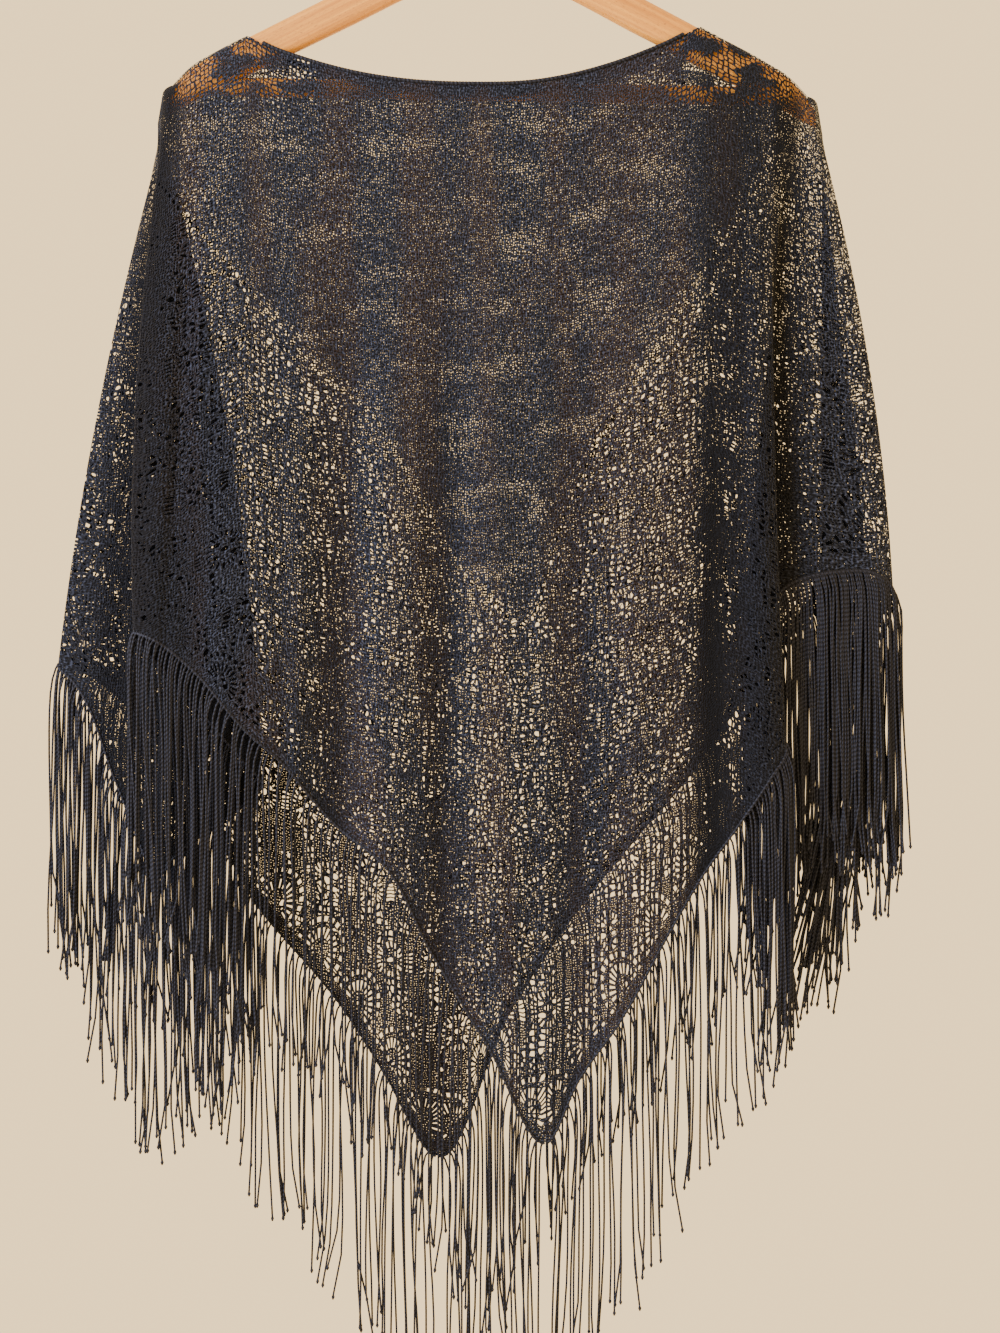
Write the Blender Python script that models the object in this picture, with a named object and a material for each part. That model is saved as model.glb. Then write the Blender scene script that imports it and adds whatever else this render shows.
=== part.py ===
"""Lace poncho shawl with a long fringe, hanging on a wooden hanger.

Metres, +Z up. The front faces -Y and +X is to the right as seen from the front. The origin is the
point inside the hook where a rod holds it. Sizes below are in millimetres and MM turns them to metres.

The cloth is a square hung by one diagonal: front point, back point and two side corners. It is laid
out as one closed ring of columns that run from the shoulder or the neck down to the hem. The ring
is folded at both sides, then split at the side corners into a front and a back panel.
"""

import math

import bpy
import numpy as np

MM = 0.001

SEAM_GAP = 0.3
WALL = 1.2
# A panel's end column moves at most this share of its cell to open the seam.
SEAM_SHARE = 0.35

ARM_HALF_THICK = 6.0
ARM_TILT = 0.0175
ARM_CLEARANCE = 0.95
CLOTH_RADIUS = ARM_HALF_THICK + ARM_CLEARANCE + WALL / 2
RIDGE_X = 219.0
RING_QUARTER = RIDGE_X + math.pi / 2 * CLOTH_RADIUS
# The cap's first chord leans its edge by about 25 degrees, so the middles stand that much further apart.
RIM_HALF_GAP = SEAM_GAP / 2 + WALL / 2 * math.sin(math.radians(25))
END_RADIUS = 2.0
# The cloth's top edge opens from a ridge to that radius over this length before the arm's end.
END_OPENING = 8.0
# The cloth falls straight for this much before it folds, which clears the wood at the arms' ends.
STRAIGHT_FALL = 19.0
# At the foot of that fall the cloth stands this much further out than over the wood.
FLARE = 1.4
# Folds open in depth sooner than they spread sideways.
DEPTH_LEAD = 1.8
# The wooden arms, on either side of the middle: height of the top edge and of the face below it.
ARM_SHAPE = {
    "x": (0, 9, 40, 100, 160, 190, 206, 216, 225),
    "top": (-79, -80.5, -93.5, -124.2, -155.2, -171, -181, -191, -203),
    "face": (31, 30.5, 28, 27, 26, 25, 23, 19, 11),
}

# Places of the wooden arms' sections, from the middle to the end.
ARM_SECTIONS = (0, 9, 20, 40, 70, 100, 130, 160, 180, 196, 206, 213, 219, 222, 224.5)

BAR_HALF_THICK = 4.5
BAR_HEIGHT = 13.0
BAR_MIDDLE = -193.0
BAR_END_GAP = 0.4
# The bar's half length lies between these two.
BAR_SHORTEST, BAR_LONGEST = 120, 215

HOOK_WIRE_RADIUS = 1.75
HOOK_INNER_RADIUS = 20.0
# The stem rises straight to its bend, swings out to the neck and goes on as a circle.
HOOK_BEND = (0.0, -54.0)
HOOK_NECK = (2.2, -46.0)
HOOK_START, HOOK_END, HOOK_STEP = -55, 205, 20

# The slack neckline, from the left neck point to the right one.
NECKLINE = {
    "x": (-169, -151, -130, -96, -62, -14, 34, 68, 103, 127, 146),
    "z": (-155, -165, -172.6, -182, -187.7, -190.4, -188.4, -181.5, -170, -159.6, -149),
}
NECK_EDGE_HEIGHT = 3.0
NECK_EDGE_THICK = 2.4
NECK_EDGE_INSET = 9.0

# Rows near the top edge, as shares of the cloth's radius over the arm.
CAP_ROWS = (0.0, 0.35, 1.0)
# Rows from the foot of a short straight fall to the hem, as shares of the way down.
FALL_ROWS = (0.0, 0.04, 0.15, 0.3, 0.45, 0.6, 0.75, 0.88, 1.0)

# One row for each fold or bend of the ring of cloth. "along" is the place on the arm's ridge in mm
# from the middle, and past RIDGE_X it goes on round the arm's end. The hem columns give the place at
# the bottom edge, "bow" bends the line between, and "cells" is the number of columns to the next row.
FRONT_STATIONS = (
    # name, along, hem_x, hem_y, hem_z, bow, cells
    ("left_corner", -230.6, -232.9, 0.0, -736, 0, 2),
    ("left_under", -230.1, -205, -6.0, -710, 6, 3),
    ("left_inner_in", -229.5, -168, -8.5, -684, 13, 2),
    ("left_inner_fold", -228.3, -156, -13.0, -671, 15, 2),
    ("left_inner_out", -227.0, -168, -17.5, -655, 13, 3),
    ("left_outer_in", -224.2, -227, -20.5, -587, -6, 2),
    ("left_outer_fold", -221.5, -241.8, -25.0, -567, -8, 2),
    ("left_outer_out", -217.0, -229, -29.5, -571, -8, 2),
    ("left_front", -208, -205, -30.0, -589, -4, 3),
    ("left_neck", -170, -163, -25.0, -636, 0, 4),
    ("left_neck_in", -160, -145, -22.0, -652, 0, 3),
    ("left_middle", -119, -104, -18.0, -700, 0, 3),
    ("left_low", -88, -73, -17.0, -724, 0, 3),
    ("left_point_in", -52, -41, -17.0, -784, 0, 3),
    ("left_point", -17, -1, -17.0, -849, 0, 3),
    ("front_point", 16, 39, -17.0, -914.5, 0, 3),
    ("right_point", 41, 61, -17.0, -872, 0, 3),
    ("right_point_in", 74, 90, -17.5, -829, 0, 3),
    ("right_low", 110, 120, -18.0, -775, 0, 2),
    ("right_neck_in", 137, 142, -20.0, -738, 0, 4),
    ("right_neck", 147, 158, -22.0, -714, 0, 2),
    ("right_breast", 170, 177, -25.5, -686, 0, 2),
    ("right_pleat_out", 184, 191, -28.0, -664, -2, 2),
    ("right_pleat_fold", 192, 201.4, -23.5, -646, -3, 2),
    ("right_pleat_in", 198, 190, -19.5, -627, -2, 1),
    ("right_hidden_out", 202, 180, -18.3, -610, 0, 2),
    ("right_hidden_fold", 206, 169.9, -13.5, -592, 0, 2),
    ("right_hidden_in", 209, 181, -8.7, -572, 0, 2),
    ("right_wing", 211, 203, -7.6, -535, 1, 2),
    ("right_wing_out", 216, 236, -7.0, -525, 4, 2),
    ("right_edge_out", 221.5, 267, -6.0, -527, 8, 2),
    ("right_edge_fold", 224.6, 278, -1.5, -537, 9, 2),
    ("right_edge_in", 227, 268, 3.0, -560, 7, 2),
    ("right_corner_out", 229, 242, 4.0, -618, 3, 2),
    ("right_corner", 230.6, 229.5, 8.0, -642, 0, 0),
)
BACK_STATIONS = (
    # name, along, hem_x, hem_y, hem_z, bow, cells
    ("right_corner", 230.6, 229.5, 8.0, -642, 0, 2),
    ("right_corner_in", 229, 242, 12.0, -612, 2, 2),
    ("right_back_out", 227, 253, 13.0, -560, 3, 2),
    ("right_back_fold", 224, 263, 17.5, -527, 3, 2),
    ("right_back_in", 220.5, 250, 22.0, -535, 2, 2),
    ("right_back", 205, 222, 23.5, -556, 0, 4),
    ("right_back_neck", 147, 158, 22.0, -640, 0, 4),
    ("right_back_neck_in", 137, 142, 21.0, -663, 0, 3),
    ("right_back_low", 107, 107, 19.0, -704, 0, 4),
    ("right_back_point_in", 58, 61, 17.0, -759, 0, 3),
    ("right_back_point", 16, 14, 17.0, -831, 0, 4),
    ("back_point", -26, -37.7, 17.0, -931.5, 0, 4),
    ("left_back_point", -66, -75, 17.0, -873, 0, 4),
    ("left_back_point_in", -108, -114, 18.0, -815, 0, 3),
    ("left_back_low", -135, -140, 19.5, -784, 0, 2),
    ("left_back_neck_in", -160, -163, 21.0, -757, 0, 4),
    ("left_back_neck", -170, -181, 22.0, -727, 0, 3),
    ("left_back", -196, -219, 23.0, -664, -1, 3),
    ("left_back_wing", -213, -255, 22.0, -617, -4, 3),
    ("left_edge_out", -220.5, -289, 18.4, -592, -7, 2),
    ("left_edge_fold", -224, -301.4, 13.0, -589, -8, 2),
    ("left_edge_in", -226.5, -289, 7.6, -601, -6, 3),
    ("left_corner_in", -229, -260, 4.0, -668, -2, 2),
    ("left_corner", -230.6, -232.9, 0.0, -736, 0, 0),
)

# Soft hanging folds. A positive depth is a trough away from the front, and "lean" is the sideways
# drift for each mm of fall. They start below FOLD_START and are full from FOLD_FULL down.
FRONT_FOLDS = (
    # name, x, width, depth, lean
    ("under_left_arm", -203, 13, 5.0, 0.00),
    ("left_trough", -106, 20, 7.0, 0.02),
    ("left_ridge", -70, 17, -5.0, 0.02),
    ("middle_trough", -34, 17, 6.5, 0.01),
    ("middle_ridge", 8, 19, -6.0, -0.02),
    ("right_shallow", 57, 17, 4.0, 0.00),
    ("right_ridge", 103, 20, -6.0, 0.02),
    ("right_trough", 150, 15, 7.0, 0.01),
    ("wing_ridge", 228, 13, -3.0, -0.05),
)
BACK_FOLDS = (
    # name, x, width, depth, lean
    ("under_left_arm", -203, 13, 5.0, 0.00),
    ("left_ridge", -150, 18, -4.0, 0.01),
    ("left_swell", -95, 22, 6.0, -0.02),
    ("middle_ridge", -42, 19, -5.5, 0.01),
    ("middle_swell", 14, 20, 6.5, 0.02),
    ("right_ridge", 66, 18, -5.0, -0.01),
    ("right_swell", 118, 20, 5.0, 0.02),
    ("wing_ridge", 228, 13, -3.0, -0.05),
)
FOLD_START = -215.0
FOLD_FULL = -560.0
LAYER_REACH = 26.0

# Eyelets: the largest gap of each lace repeat, cut through below a V that starts at the shoulders.
EYELET_WIDTH = 5.6
EYELET_HEIGHT = 7.6
LACE_V = {"x": (-182, -14, 175), "z": (-216, -517, -291)}
NARROWEST_CELL = 11.0

# Fringe.
STRIP_HEIGHT = 4.0
STRIP_THICK = 2.2
# The strip hangs this much lower for each unit of turn between columns, to clear the hem at folds.
TURN_DROP = 1.0
# Level share of the steepest hem: steeper stretches count as this one when the strip is lowered.
STEEPEST_HEM = 0.4
STRAND_RADIUS = 1.0
STRAND_LENGTH = 196.0
STRAND_LEVELS = 3
# A strand hangs from a strip's stretch at least half this wide, and leans less from a narrow one.
STRAND_SPREAD = 13.0
# How much strands differ: shortest and longest, lean and bend sideways, lean to the front or back.
STRAND_UNEVEN = (-14.0, 10.0)
STRAND_LEAN = 3.5
STRAND_BEND = 2.0
STRAND_SWAY = 0.8
FRINGE_SEED = 7


def slopes(at, values):
    """Slope at each point of an uneven table, from its two neighbours."""
    steps = np.diff(at)
    rises = np.diff(values) / steps
    inner = (rises[:-1] * steps[1:] + rises[1:] * steps[:-1]) / (steps[:-1] + steps[1:])
    return np.concatenate(([rises[0]], inner, [rises[-1]]))


def smooth_at(at, values, places):
    """A smooth curve through a table, read at the places given."""
    at, values, places = (np.asarray(v, dtype=float) for v in (at, values, places))
    slope = slopes(at, values)
    left = np.clip(np.searchsorted(at, places, side="right") - 1, 0, len(at) - 2)
    width = at[left + 1] - at[left]
    t = np.clip((places - at[left]) / width, 0, 1)
    rise = (1 + 2 * t) * (1 - t) ** 2 * values[left] + t * t * (3 - 2 * t) * values[left + 1]
    turn = t * (1 - t) ** 2 * slope[left] - t * t * (1 - t) * slope[left + 1]
    return rise + turn * width


def arm_top(x):
    """Height of the arms' top edge at x."""
    return smooth_at(ARM_SHAPE["x"], ARM_SHAPE["top"], np.abs(x)) - ARM_TILT * np.asarray(x)


def arm_face(x):
    """Height of the arms' face at x."""
    return smooth_at(ARM_SHAPE["x"], ARM_SHAPE["face"], np.abs(x))


def ring_number(along, side):
    """Place on the ring round the arms, one number that grows from the left end along the front."""
    return along if side < 0 else 2 * RING_QUARTER - along


def ring_columns():
    """The columns of the whole ring, read from the stations as smooth curves, and three marks on it."""
    rows = [(*row, -1.0) for row in FRONT_STATIONS[:-1]] + [(*row, 1.0) for row in BACK_STATIONS]
    hem = np.array([row[2:5] for row in rows], dtype=float)
    steps = np.linalg.norm(np.diff(hem, axis=0), axis=1)
    at = np.concatenate(([0.0], np.cumsum(steps)))
    places = [0.0]
    marks = {}
    for number, row in enumerate(rows[:-1]):
        marks[row[0], row[7]] = len(places) - 1
        places += [at[number] + steps[number] * (cell + 1) / row[6] for cell in range(row[6])]
    columns = {
        "ring": np.interp(places, at, [ring_number(row[1], row[7]) for row in rows]),
        "x": smooth_at(at, hem[:, 0], places),
        "y": smooth_at(at, hem[:, 1], places),
        "z": smooth_at(at, hem[:, 2], places),
        "bow": smooth_at(at, [row[5] for row in rows], places),
    }
    return columns, marks


def ease(value):
    """A smooth step from 0 to 1."""
    value = np.clip(value, 0, 1)
    return value * value * (3 - 2 * value)


def cap_point(ring, share):
    """A point of the cloth over the arm: share 0 is the top edge, share 1 one radius lower."""
    side = -1.0 if ring < RING_QUARTER else 1.0
    along = ring if side < 0 else 2 * RING_QUARTER - ring
    over_arm = float(np.clip(along, -RIDGE_X, RIDGE_X))
    turn = (abs(along) - RIDGE_X) / CLOTH_RADIUS if abs(along) > RIDGE_X else 0.0
    ridge = float(arm_top(over_arm)) + CLOTH_RADIUS - ARM_HALF_THICK
    rim = ridge
    if NECKLINE["x"][0] < along < NECKLINE["x"][-1]:
        rim = min(ridge, float(smooth_at(NECKLINE["x"], NECKLINE["z"], along)))
    depth = ridge - rim + share * CLOTH_RADIUS
    radius = CLOTH_RADIUS
    if depth < CLOTH_RADIUS:
        radius = math.sqrt(CLOTH_RADIUS**2 - (CLOTH_RADIUS - depth) ** 2)
    near_end = float(ease((abs(along) - RIDGE_X + END_OPENING) / END_OPENING))
    radius = max(radius, RIM_HALF_GAP + near_end * (END_RADIUS - RIM_HALF_GAP))
    x = over_arm + math.copysign(radius * math.sin(turn), along)
    return np.array((x, side * radius * math.cos(turn), rim - share * CLOTH_RADIUS))


def fold_depth(folds, x, z):
    """How far the soft folds push the cloth back at x and z."""
    depth = sum(
        push * np.exp(-(((x - place - lean * (z - FOLD_FULL)) / width) ** 2))
        for name, place, width, push, lean in folds
    )
    return depth * ease((FOLD_START - z) / (FOLD_START - FOLD_FULL))


def folded(point):
    """Moves a point by the soft folds: the front's at the front, the back's at the back."""
    x, y, z = point
    to_back = float(np.clip(0.5 + y / (2 * LAYER_REACH), 0, 1))
    front = fold_depth(FRONT_FOLDS, x, z)
    back = fold_depth(BACK_FOLDS, x, z)
    return np.array((x, y + front * (1 - to_back) + back * to_back, z))


def cloth_grid():
    """Middle points and outward normals of the whole ring, [row, column], and its marks."""
    columns, marks = ring_columns()
    count = len(columns["x"])
    rows = len(CAP_ROWS) + len(FALL_ROWS)
    middle = np.zeros((rows, count, 3))
    for column in range(count):
        ring = columns["ring"][column]
        for row, share in enumerate(CAP_ROWS):
            middle[row, column] = cap_point(ring, share)
        top = middle[len(CAP_ROWS) - 1, column] - np.array((0, 0, STRAIGHT_FALL))
        over_arm = float(np.clip(top[0], -RIDGE_X, RIDGE_X))
        top[0] = over_arm + (top[0] - over_arm) * FLARE
        top[1] *= FLARE
        hem = np.array([columns[axis][column] for axis in "xyz"])
        for row, share in enumerate(FALL_ROWS):
            point = top + (hem - top) * share
            point[1] = top[1] + (hem[1] - top[1]) * (1 - (1 - share) ** DEPTH_LEAD)
            point[0] += columns["bow"][column] * 4 * share * (1 - share)
            middle[len(CAP_ROWS) + row, column] = folded(point)
    middle[:, -1] = middle[:, 0]
    across = np.empty_like(middle)
    across[:, 1:-1] = middle[:, 2:] - middle[:, :-2]
    across[:, 0] = across[:, -1] = middle[:, 1] - middle[:, -2]
    down = np.gradient(middle, axis=0)
    normal = np.cross(down, across)
    normal /= np.linalg.norm(normal, axis=2, keepdims=True)
    across /= np.linalg.norm(across, axis=2, keepdims=True)
    return middle, normal, across, marks


def parted(middle, across, first, last):
    """The columns from first to last, with both end columns drawn in by half a seam gap."""
    points = middle[:, first : last + 1].copy()
    for end, inner, sign in ((0, 1, 1), (-1, -2, -1)):
        room = np.linalg.norm(points[:, inner] - points[:, end], axis=1, keepdims=True)
        step = np.minimum(SEAM_GAP / 2, SEAM_SHARE * room)
        points[:, end] += sign * step * across[:, first if sign > 0 else last]
    return points


def zipped(outer, outer_places, inner, inner_places):
    """Triangles between two loops, each given as point numbers with flat places, both turning left."""
    centre = np.mean(inner_places, axis=0)

    def turned(numbers, places):
        angles = [math.atan2(v - centre[1], u - centre[0]) for u, v in places]
        start = int(np.argmin(angles))
        order = [(start + k) % len(numbers) for k in range(len(numbers))]
        loop = [(angles[k], numbers[k]) for k in order]
        return loop + [(loop[0][0] + 2 * math.pi, loop[0][1])]

    a, b = turned(outer, outer_places), turned(inner, inner_places)
    faces = []
    i = j = 0
    while i < len(outer) or j < len(inner):
        if j == len(inner) or (i < len(outer) and a[i + 1][0] < b[j + 1][0]):
            faces.append((a[i][1], a[i + 1][1], b[j][1]))
            i += 1
        else:
            faces.append((b[j + 1][1], b[j][1], a[i][1]))
            j += 1
    return faces


class Solid:
    """Points and faces of one piece, in millimetres."""

    def __init__(self):
        self.points = []
        self.faces = []

    def add(self, points):
        start = len(self.points)
        self.points += [tuple(float(value) for value in point) for point in points]
        return list(range(start, len(self.points)))

    def finish(self, name, material):
        """Makes the Blender object."""
        mesh = bpy.data.meshes.new(name)
        mesh.from_pydata([[value * MM for value in point] for point in self.points], [], self.faces)
        mesh.validate()
        mesh.shade_smooth()
        mesh.set_sharp_from_angle(angle=math.radians(40))
        mesh.materials.append(material)
        piece = bpy.data.objects.new(name, mesh)
        bpy.context.scene.collection.objects.link(piece)
        return piece


def eyelet_here(row, column, corners):
    """True where the lace has one of its largest gaps: every other cell below the V of the border."""
    if (row + column) % 2 or row < len(CAP_ROWS):
        return False
    x, _, z = np.mean(corners, axis=0)
    if z > np.interp(x, LACE_V["x"], LACE_V["z"]):
        return False
    width = np.linalg.norm(corners[0] + corners[1] - corners[2] - corners[3]) / 2
    return width > NARROWEST_CELL


def eyelet_corners(corners):
    """The four points of a diamond gap in the middle of a cell."""
    top_left, low_left, low_right, top_right = corners
    centre = sum(corners) / 4
    across = (low_right + top_right - top_left - low_left) / 2
    down = (low_left + low_right - top_left - top_right) / 2
    across = across / np.linalg.norm(across) * EYELET_WIDTH / 2
    down = down / np.linalg.norm(down) * EYELET_HEIGHT / 2
    return [centre - across, centre + down, centre + across, centre - down]


def panel(name, material, points, normals):
    """A cloth panel: a wall on both sides of its middle points, with its eyelets cut through."""
    rows, columns = points.shape[:2]
    skins = [points + normals * WALL / 2, points - normals * WALL / 2]
    solid = Solid()
    outer, inner = (np.array(solid.add(skin.reshape(-1, 3))).reshape(rows, columns) for skin in skins)
    for row in range(rows - 1):
        for column in range(columns - 1):
            cell = ((row, column), (row + 1, column), (row + 1, column + 1), (row, column + 1))
            middles = [points[place] for place in cell]
            rims = []
            if eyelet_here(row, column, middles):
                rims = [solid.add(eyelet_corners([skin[place] for place in cell])) for skin in skins]
            for side, numbers in enumerate((outer, inner)):
                a, b, c, d = (int(numbers[place]) for place in cell)
                faces = [(a, b, c), (a, c, d)]
                if rims:
                    west, south, east, north = rims[side]
                    faces = [(a, b, west), (b, south, west), (b, c, south), (c, east, south)]
                    faces += [(c, d, east), (d, north, east), (d, a, north), (a, west, north)]
                solid.faces += faces if side == 0 else [face[::-1] for face in faces]
            for k in range(4 if rims else 0):
                near, far = rims[0][k], rims[0][(k + 1) % 4]
                solid.faces.append((near, far, rims[1][(k + 1) % 4], rims[1][k]))
    for k in range(columns - 1):
        solid.faces.append((outer[0, k], outer[0, k + 1], inner[0, k + 1], inner[0, k]))
        solid.faces.append((outer[-1, k + 1], outer[-1, k], inner[-1, k], inner[-1, k + 1]))
    for k in range(rows - 1):
        solid.faces.append((outer[k + 1, 0], outer[k, 0], inner[k, 0], inner[k + 1, 0]))
        solid.faces.append((outer[k, -1], outer[k + 1, -1], inner[k + 1, -1], inner[k, -1]))
    solid.faces = [tuple(int(number) for number in face) for face in solid.faces]
    return solid.finish(name, material)


def windows(values):
    """Each value of a list with its two neighbours."""
    return np.lib.stride_tricks.sliding_window_view(np.pad(values, 1, mode="edge"), 3)


def fringe(name, material, hem, normals, across, chance):
    """A narrow strip under a stretch of hem, and its strands, fused to it at their roots."""
    level = np.clip(np.linalg.norm(across[:, :2], axis=1), STEEPEST_HEM, 1)
    flat = normals.copy()
    flat[:, 2] = 0
    flat /= np.linalg.norm(flat, axis=1, keepdims=True)
    turn = np.linalg.norm(np.gradient(flat, axis=0), axis=1)
    need = (SEAM_GAP + np.abs(normals[:, 2]) * WALL + turn * TURN_DROP) / level
    highest = windows(need).max(axis=1)
    drop = np.zeros_like(hem)
    drop[:, 2] = windows(highest).mean(axis=1)
    depth = np.array((0, 0, STRIP_HEIGHT))
    count = len(hem)
    solid = Solid()
    rails = []
    for side, share in ((1, 0), (1, 1), (-1, 1), (-1, 0)):
        rails.append(solid.add(hem + side * flat * STRIP_THICK / 2 - drop - share * depth))
    for k in range(count - 1):
        for this, other in ((0, 1), (2, 3), (3, 0)):
            solid.faces.append((rails[this][k], rails[other][k], rails[other][k + 1], rails[this][k + 1]))
        corners = [rails[1][k], rails[2][k], rails[2][k + 1], rails[1][k + 1]]
        spread = np.array(solid.points[corners[3]]) - np.array(solid.points[corners[0]])
        width = math.hypot(spread[0], spread[1])
        if width < STRAND_SPREAD / 2:
            solid.faces.append(tuple(corners))
            continue
        strand(solid, corners, width, chance)
    for end, order in ((0, (3, 2, 1, 0)), (count - 1, (0, 1, 2, 3))):
        solid.faces.append(tuple(rails[k][end] for k in order))
    return solid.finish(name, material)


def strand(solid, corners, width, chance):
    """Hangs one strand from the bottom face of a strip, whose corners turn left as seen from below."""
    near, across, far, along = (np.array(solid.points[number]) for number in corners)
    step = (along - near) / width
    over = (across - near) / STRIP_THICK
    centre = (near + across + far + along) / 4
    offsets = [
        (STRAND_RADIUS * math.cos(turn), STRAND_RADIUS * math.sin(turn))
        for turn in (math.radians(degrees) for degrees in (90, 210, 330))
    ]
    root = [centre + over * u + step * v for u, v in offsets]
    places = [
        (u * STRIP_THICK / 2, v * width / 2) for u, v in ((-1, -1), (1, -1), (1, 1), (-1, 1))
    ]
    ring = solid.add(root)
    solid.faces += zipped(corners, places, ring, offsets)
    length = STRAND_LENGTH + chance.uniform(*STRAND_UNEVEN)
    room = min(width / STRAND_SPREAD, 1.0)
    sideways = chance.uniform(-STRAND_LEAN, STRAND_LEAN) * room
    lean = np.array((sideways, chance.uniform(-STRAND_SWAY, STRAND_SWAY), 0))
    bend = np.array((chance.uniform(-STRAND_BEND, STRAND_BEND) * room, 0, 0))
    bottom = centre[2]
    for level in range(1, STRAND_LEVELS + 1):
        share = level / STRAND_LEVELS
        shift = lean * share + bend * 4 * share * (1 - share)
        loop = [np.array((p[0], p[1], bottom - length * share)) + shift for p in root]
        below = solid.add(loop)
        for k in range(3):
            solid.faces.append((ring[k], ring[(k + 1) % 3], below[(k + 1) % 3], below[k]))
        ring = below
    solid.faces.append(tuple(ring))


def lofted(name, material, sections):
    """A closed solid through equal loops of points, each turning left as seen along the loft."""
    solid = Solid()
    loops = [solid.add(section) for section in sections]
    size = len(loops[0])
    for first, second in zip(loops, loops[1:]):
        for k in range(size):
            solid.faces.append((first[k], second[k], second[(k + 1) % size], first[(k + 1) % size]))
    solid.faces.append(tuple(loops[0]))
    solid.faces.append(tuple(loops[-1][::-1]))
    return solid.finish(name, material)


def rounded_section(x, top, height, half_thick):
    """A wooden bar's section at x: round along its top and bottom edges."""
    reach = min(half_thick, height / 2)
    points = []
    for start, middle in ((0, top - reach), (180, top - height + reach)):
        for step in range(5):
            turn = math.radians(start + 45 * step)
            points.append((x, half_thick * math.cos(turn), middle + reach * math.sin(turn)))
    return points[::-1]


def hanger_arms(material):
    """Both shoulder arms, one piece of wood that bends down from the middle."""
    places = [-x for x in reversed(ARM_SECTIONS[1:])] + list(ARM_SECTIONS)
    sections = []
    for x in places:
        over = max(abs(x) - RIDGE_X, 0)
        half = math.sqrt(max(ARM_HALF_THICK**2 - over**2, 0))
        sections.append(rounded_section(x, float(arm_top(x)), float(arm_face(x)), half))
    return lofted("hanger_arms", material, sections)


def bar_end(side, height):
    """How far the lower bar reaches at a height before it meets the arm above it."""
    spans = np.linspace(BAR_SHORTEST, BAR_LONGEST, 400)
    under = arm_top(side * spans) - arm_face(side * spans)
    level = height - ARM_TILT * side * spans
    return float(spans[int(np.argmax(under < level + BAR_END_GAP))])


def hanger_bar(material):
    """The lower bar, its ends cut to the slope of the arms' undersides."""
    left, right = (
        [
            (side * bar_end(side, point[2]), point[1], point[2] - ARM_TILT * side * bar_end(side, point[2]))
            for point in rounded_section(0, BAR_MIDDLE + BAR_HEIGHT / 2, BAR_HEIGHT, BAR_HALF_THICK)
        ]
        for side in (-1, 1)
    )
    return lofted("hanger_bar", material, [left, right])


def hook_route():
    """The middle line of the hook: up from the arms, then most of a turn round the origin's rod."""
    radius = HOOK_INNER_RADIUS + HOOK_WIRE_RADIUS
    foot = float(arm_top(0)) + SEAM_GAP
    route = [(0.0, foot), (0.0, (foot + HOOK_BEND[1]) / 2), HOOK_BEND, HOOK_NECK]
    for degrees in range(HOOK_START, HOOK_END + 1, HOOK_STEP):
        turn = math.radians(degrees)
        route.append((radius * math.cos(turn), -HOOK_INNER_RADIUS + radius * math.sin(turn)))
    return route


def hanger_hook(material):
    """The steel wire hook, eight-sided."""
    route = [np.array((x, 0.0, z)) for x, z in hook_route()]
    sections = []
    for number, point in enumerate(route):
        ahead = route[min(number + 1, len(route) - 1)] - route[max(number - 1, 0)]
        ahead = ahead / np.linalg.norm(ahead)
        side = np.cross(ahead, (0.0, 1.0, 0.0))
        turns = [math.radians(45 * k + 22.5) for k in range(8)]
        loop = [
            point + HOOK_WIRE_RADIUS * (math.cos(t) * side + math.sin(t) * np.array((0, 1.0, 0)))
            for t in turns
        ]
        sections.append(loop)
    return lofted("hanger_hook", material, sections)


def neck_edge(name, material, points, normals):
    """The firm narrow edge along one side of the neck slit, just above a panel's top edge."""
    rise = points[0] - points[1]
    rise /= np.linalg.norm(rise, axis=1, keepdims=True)
    sections = []
    for point, normal, up in zip(points[0], normals[0], rise):
        out = normal * NECK_EDGE_THICK / 2
        low, high = point + up * SEAM_GAP, point + up * (SEAM_GAP + NECK_EDGE_HEIGHT)
        sections.append([high + out, high - out, low - out, low + out])
    return lofted(name, material, sections)


def material(name, colour, roughness, metallic=0.0):
    """A plain Principled material from a linear colour."""
    made = bpy.data.materials.new(name)
    made.use_nodes = True
    shader = made.node_tree.nodes["Principled BSDF"]
    shader.inputs["Base Color"].default_value = (*colour, 1.0)
    shader.inputs["Roughness"].default_value = roughness
    shader.inputs["Metallic"].default_value = metallic
    return made


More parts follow.
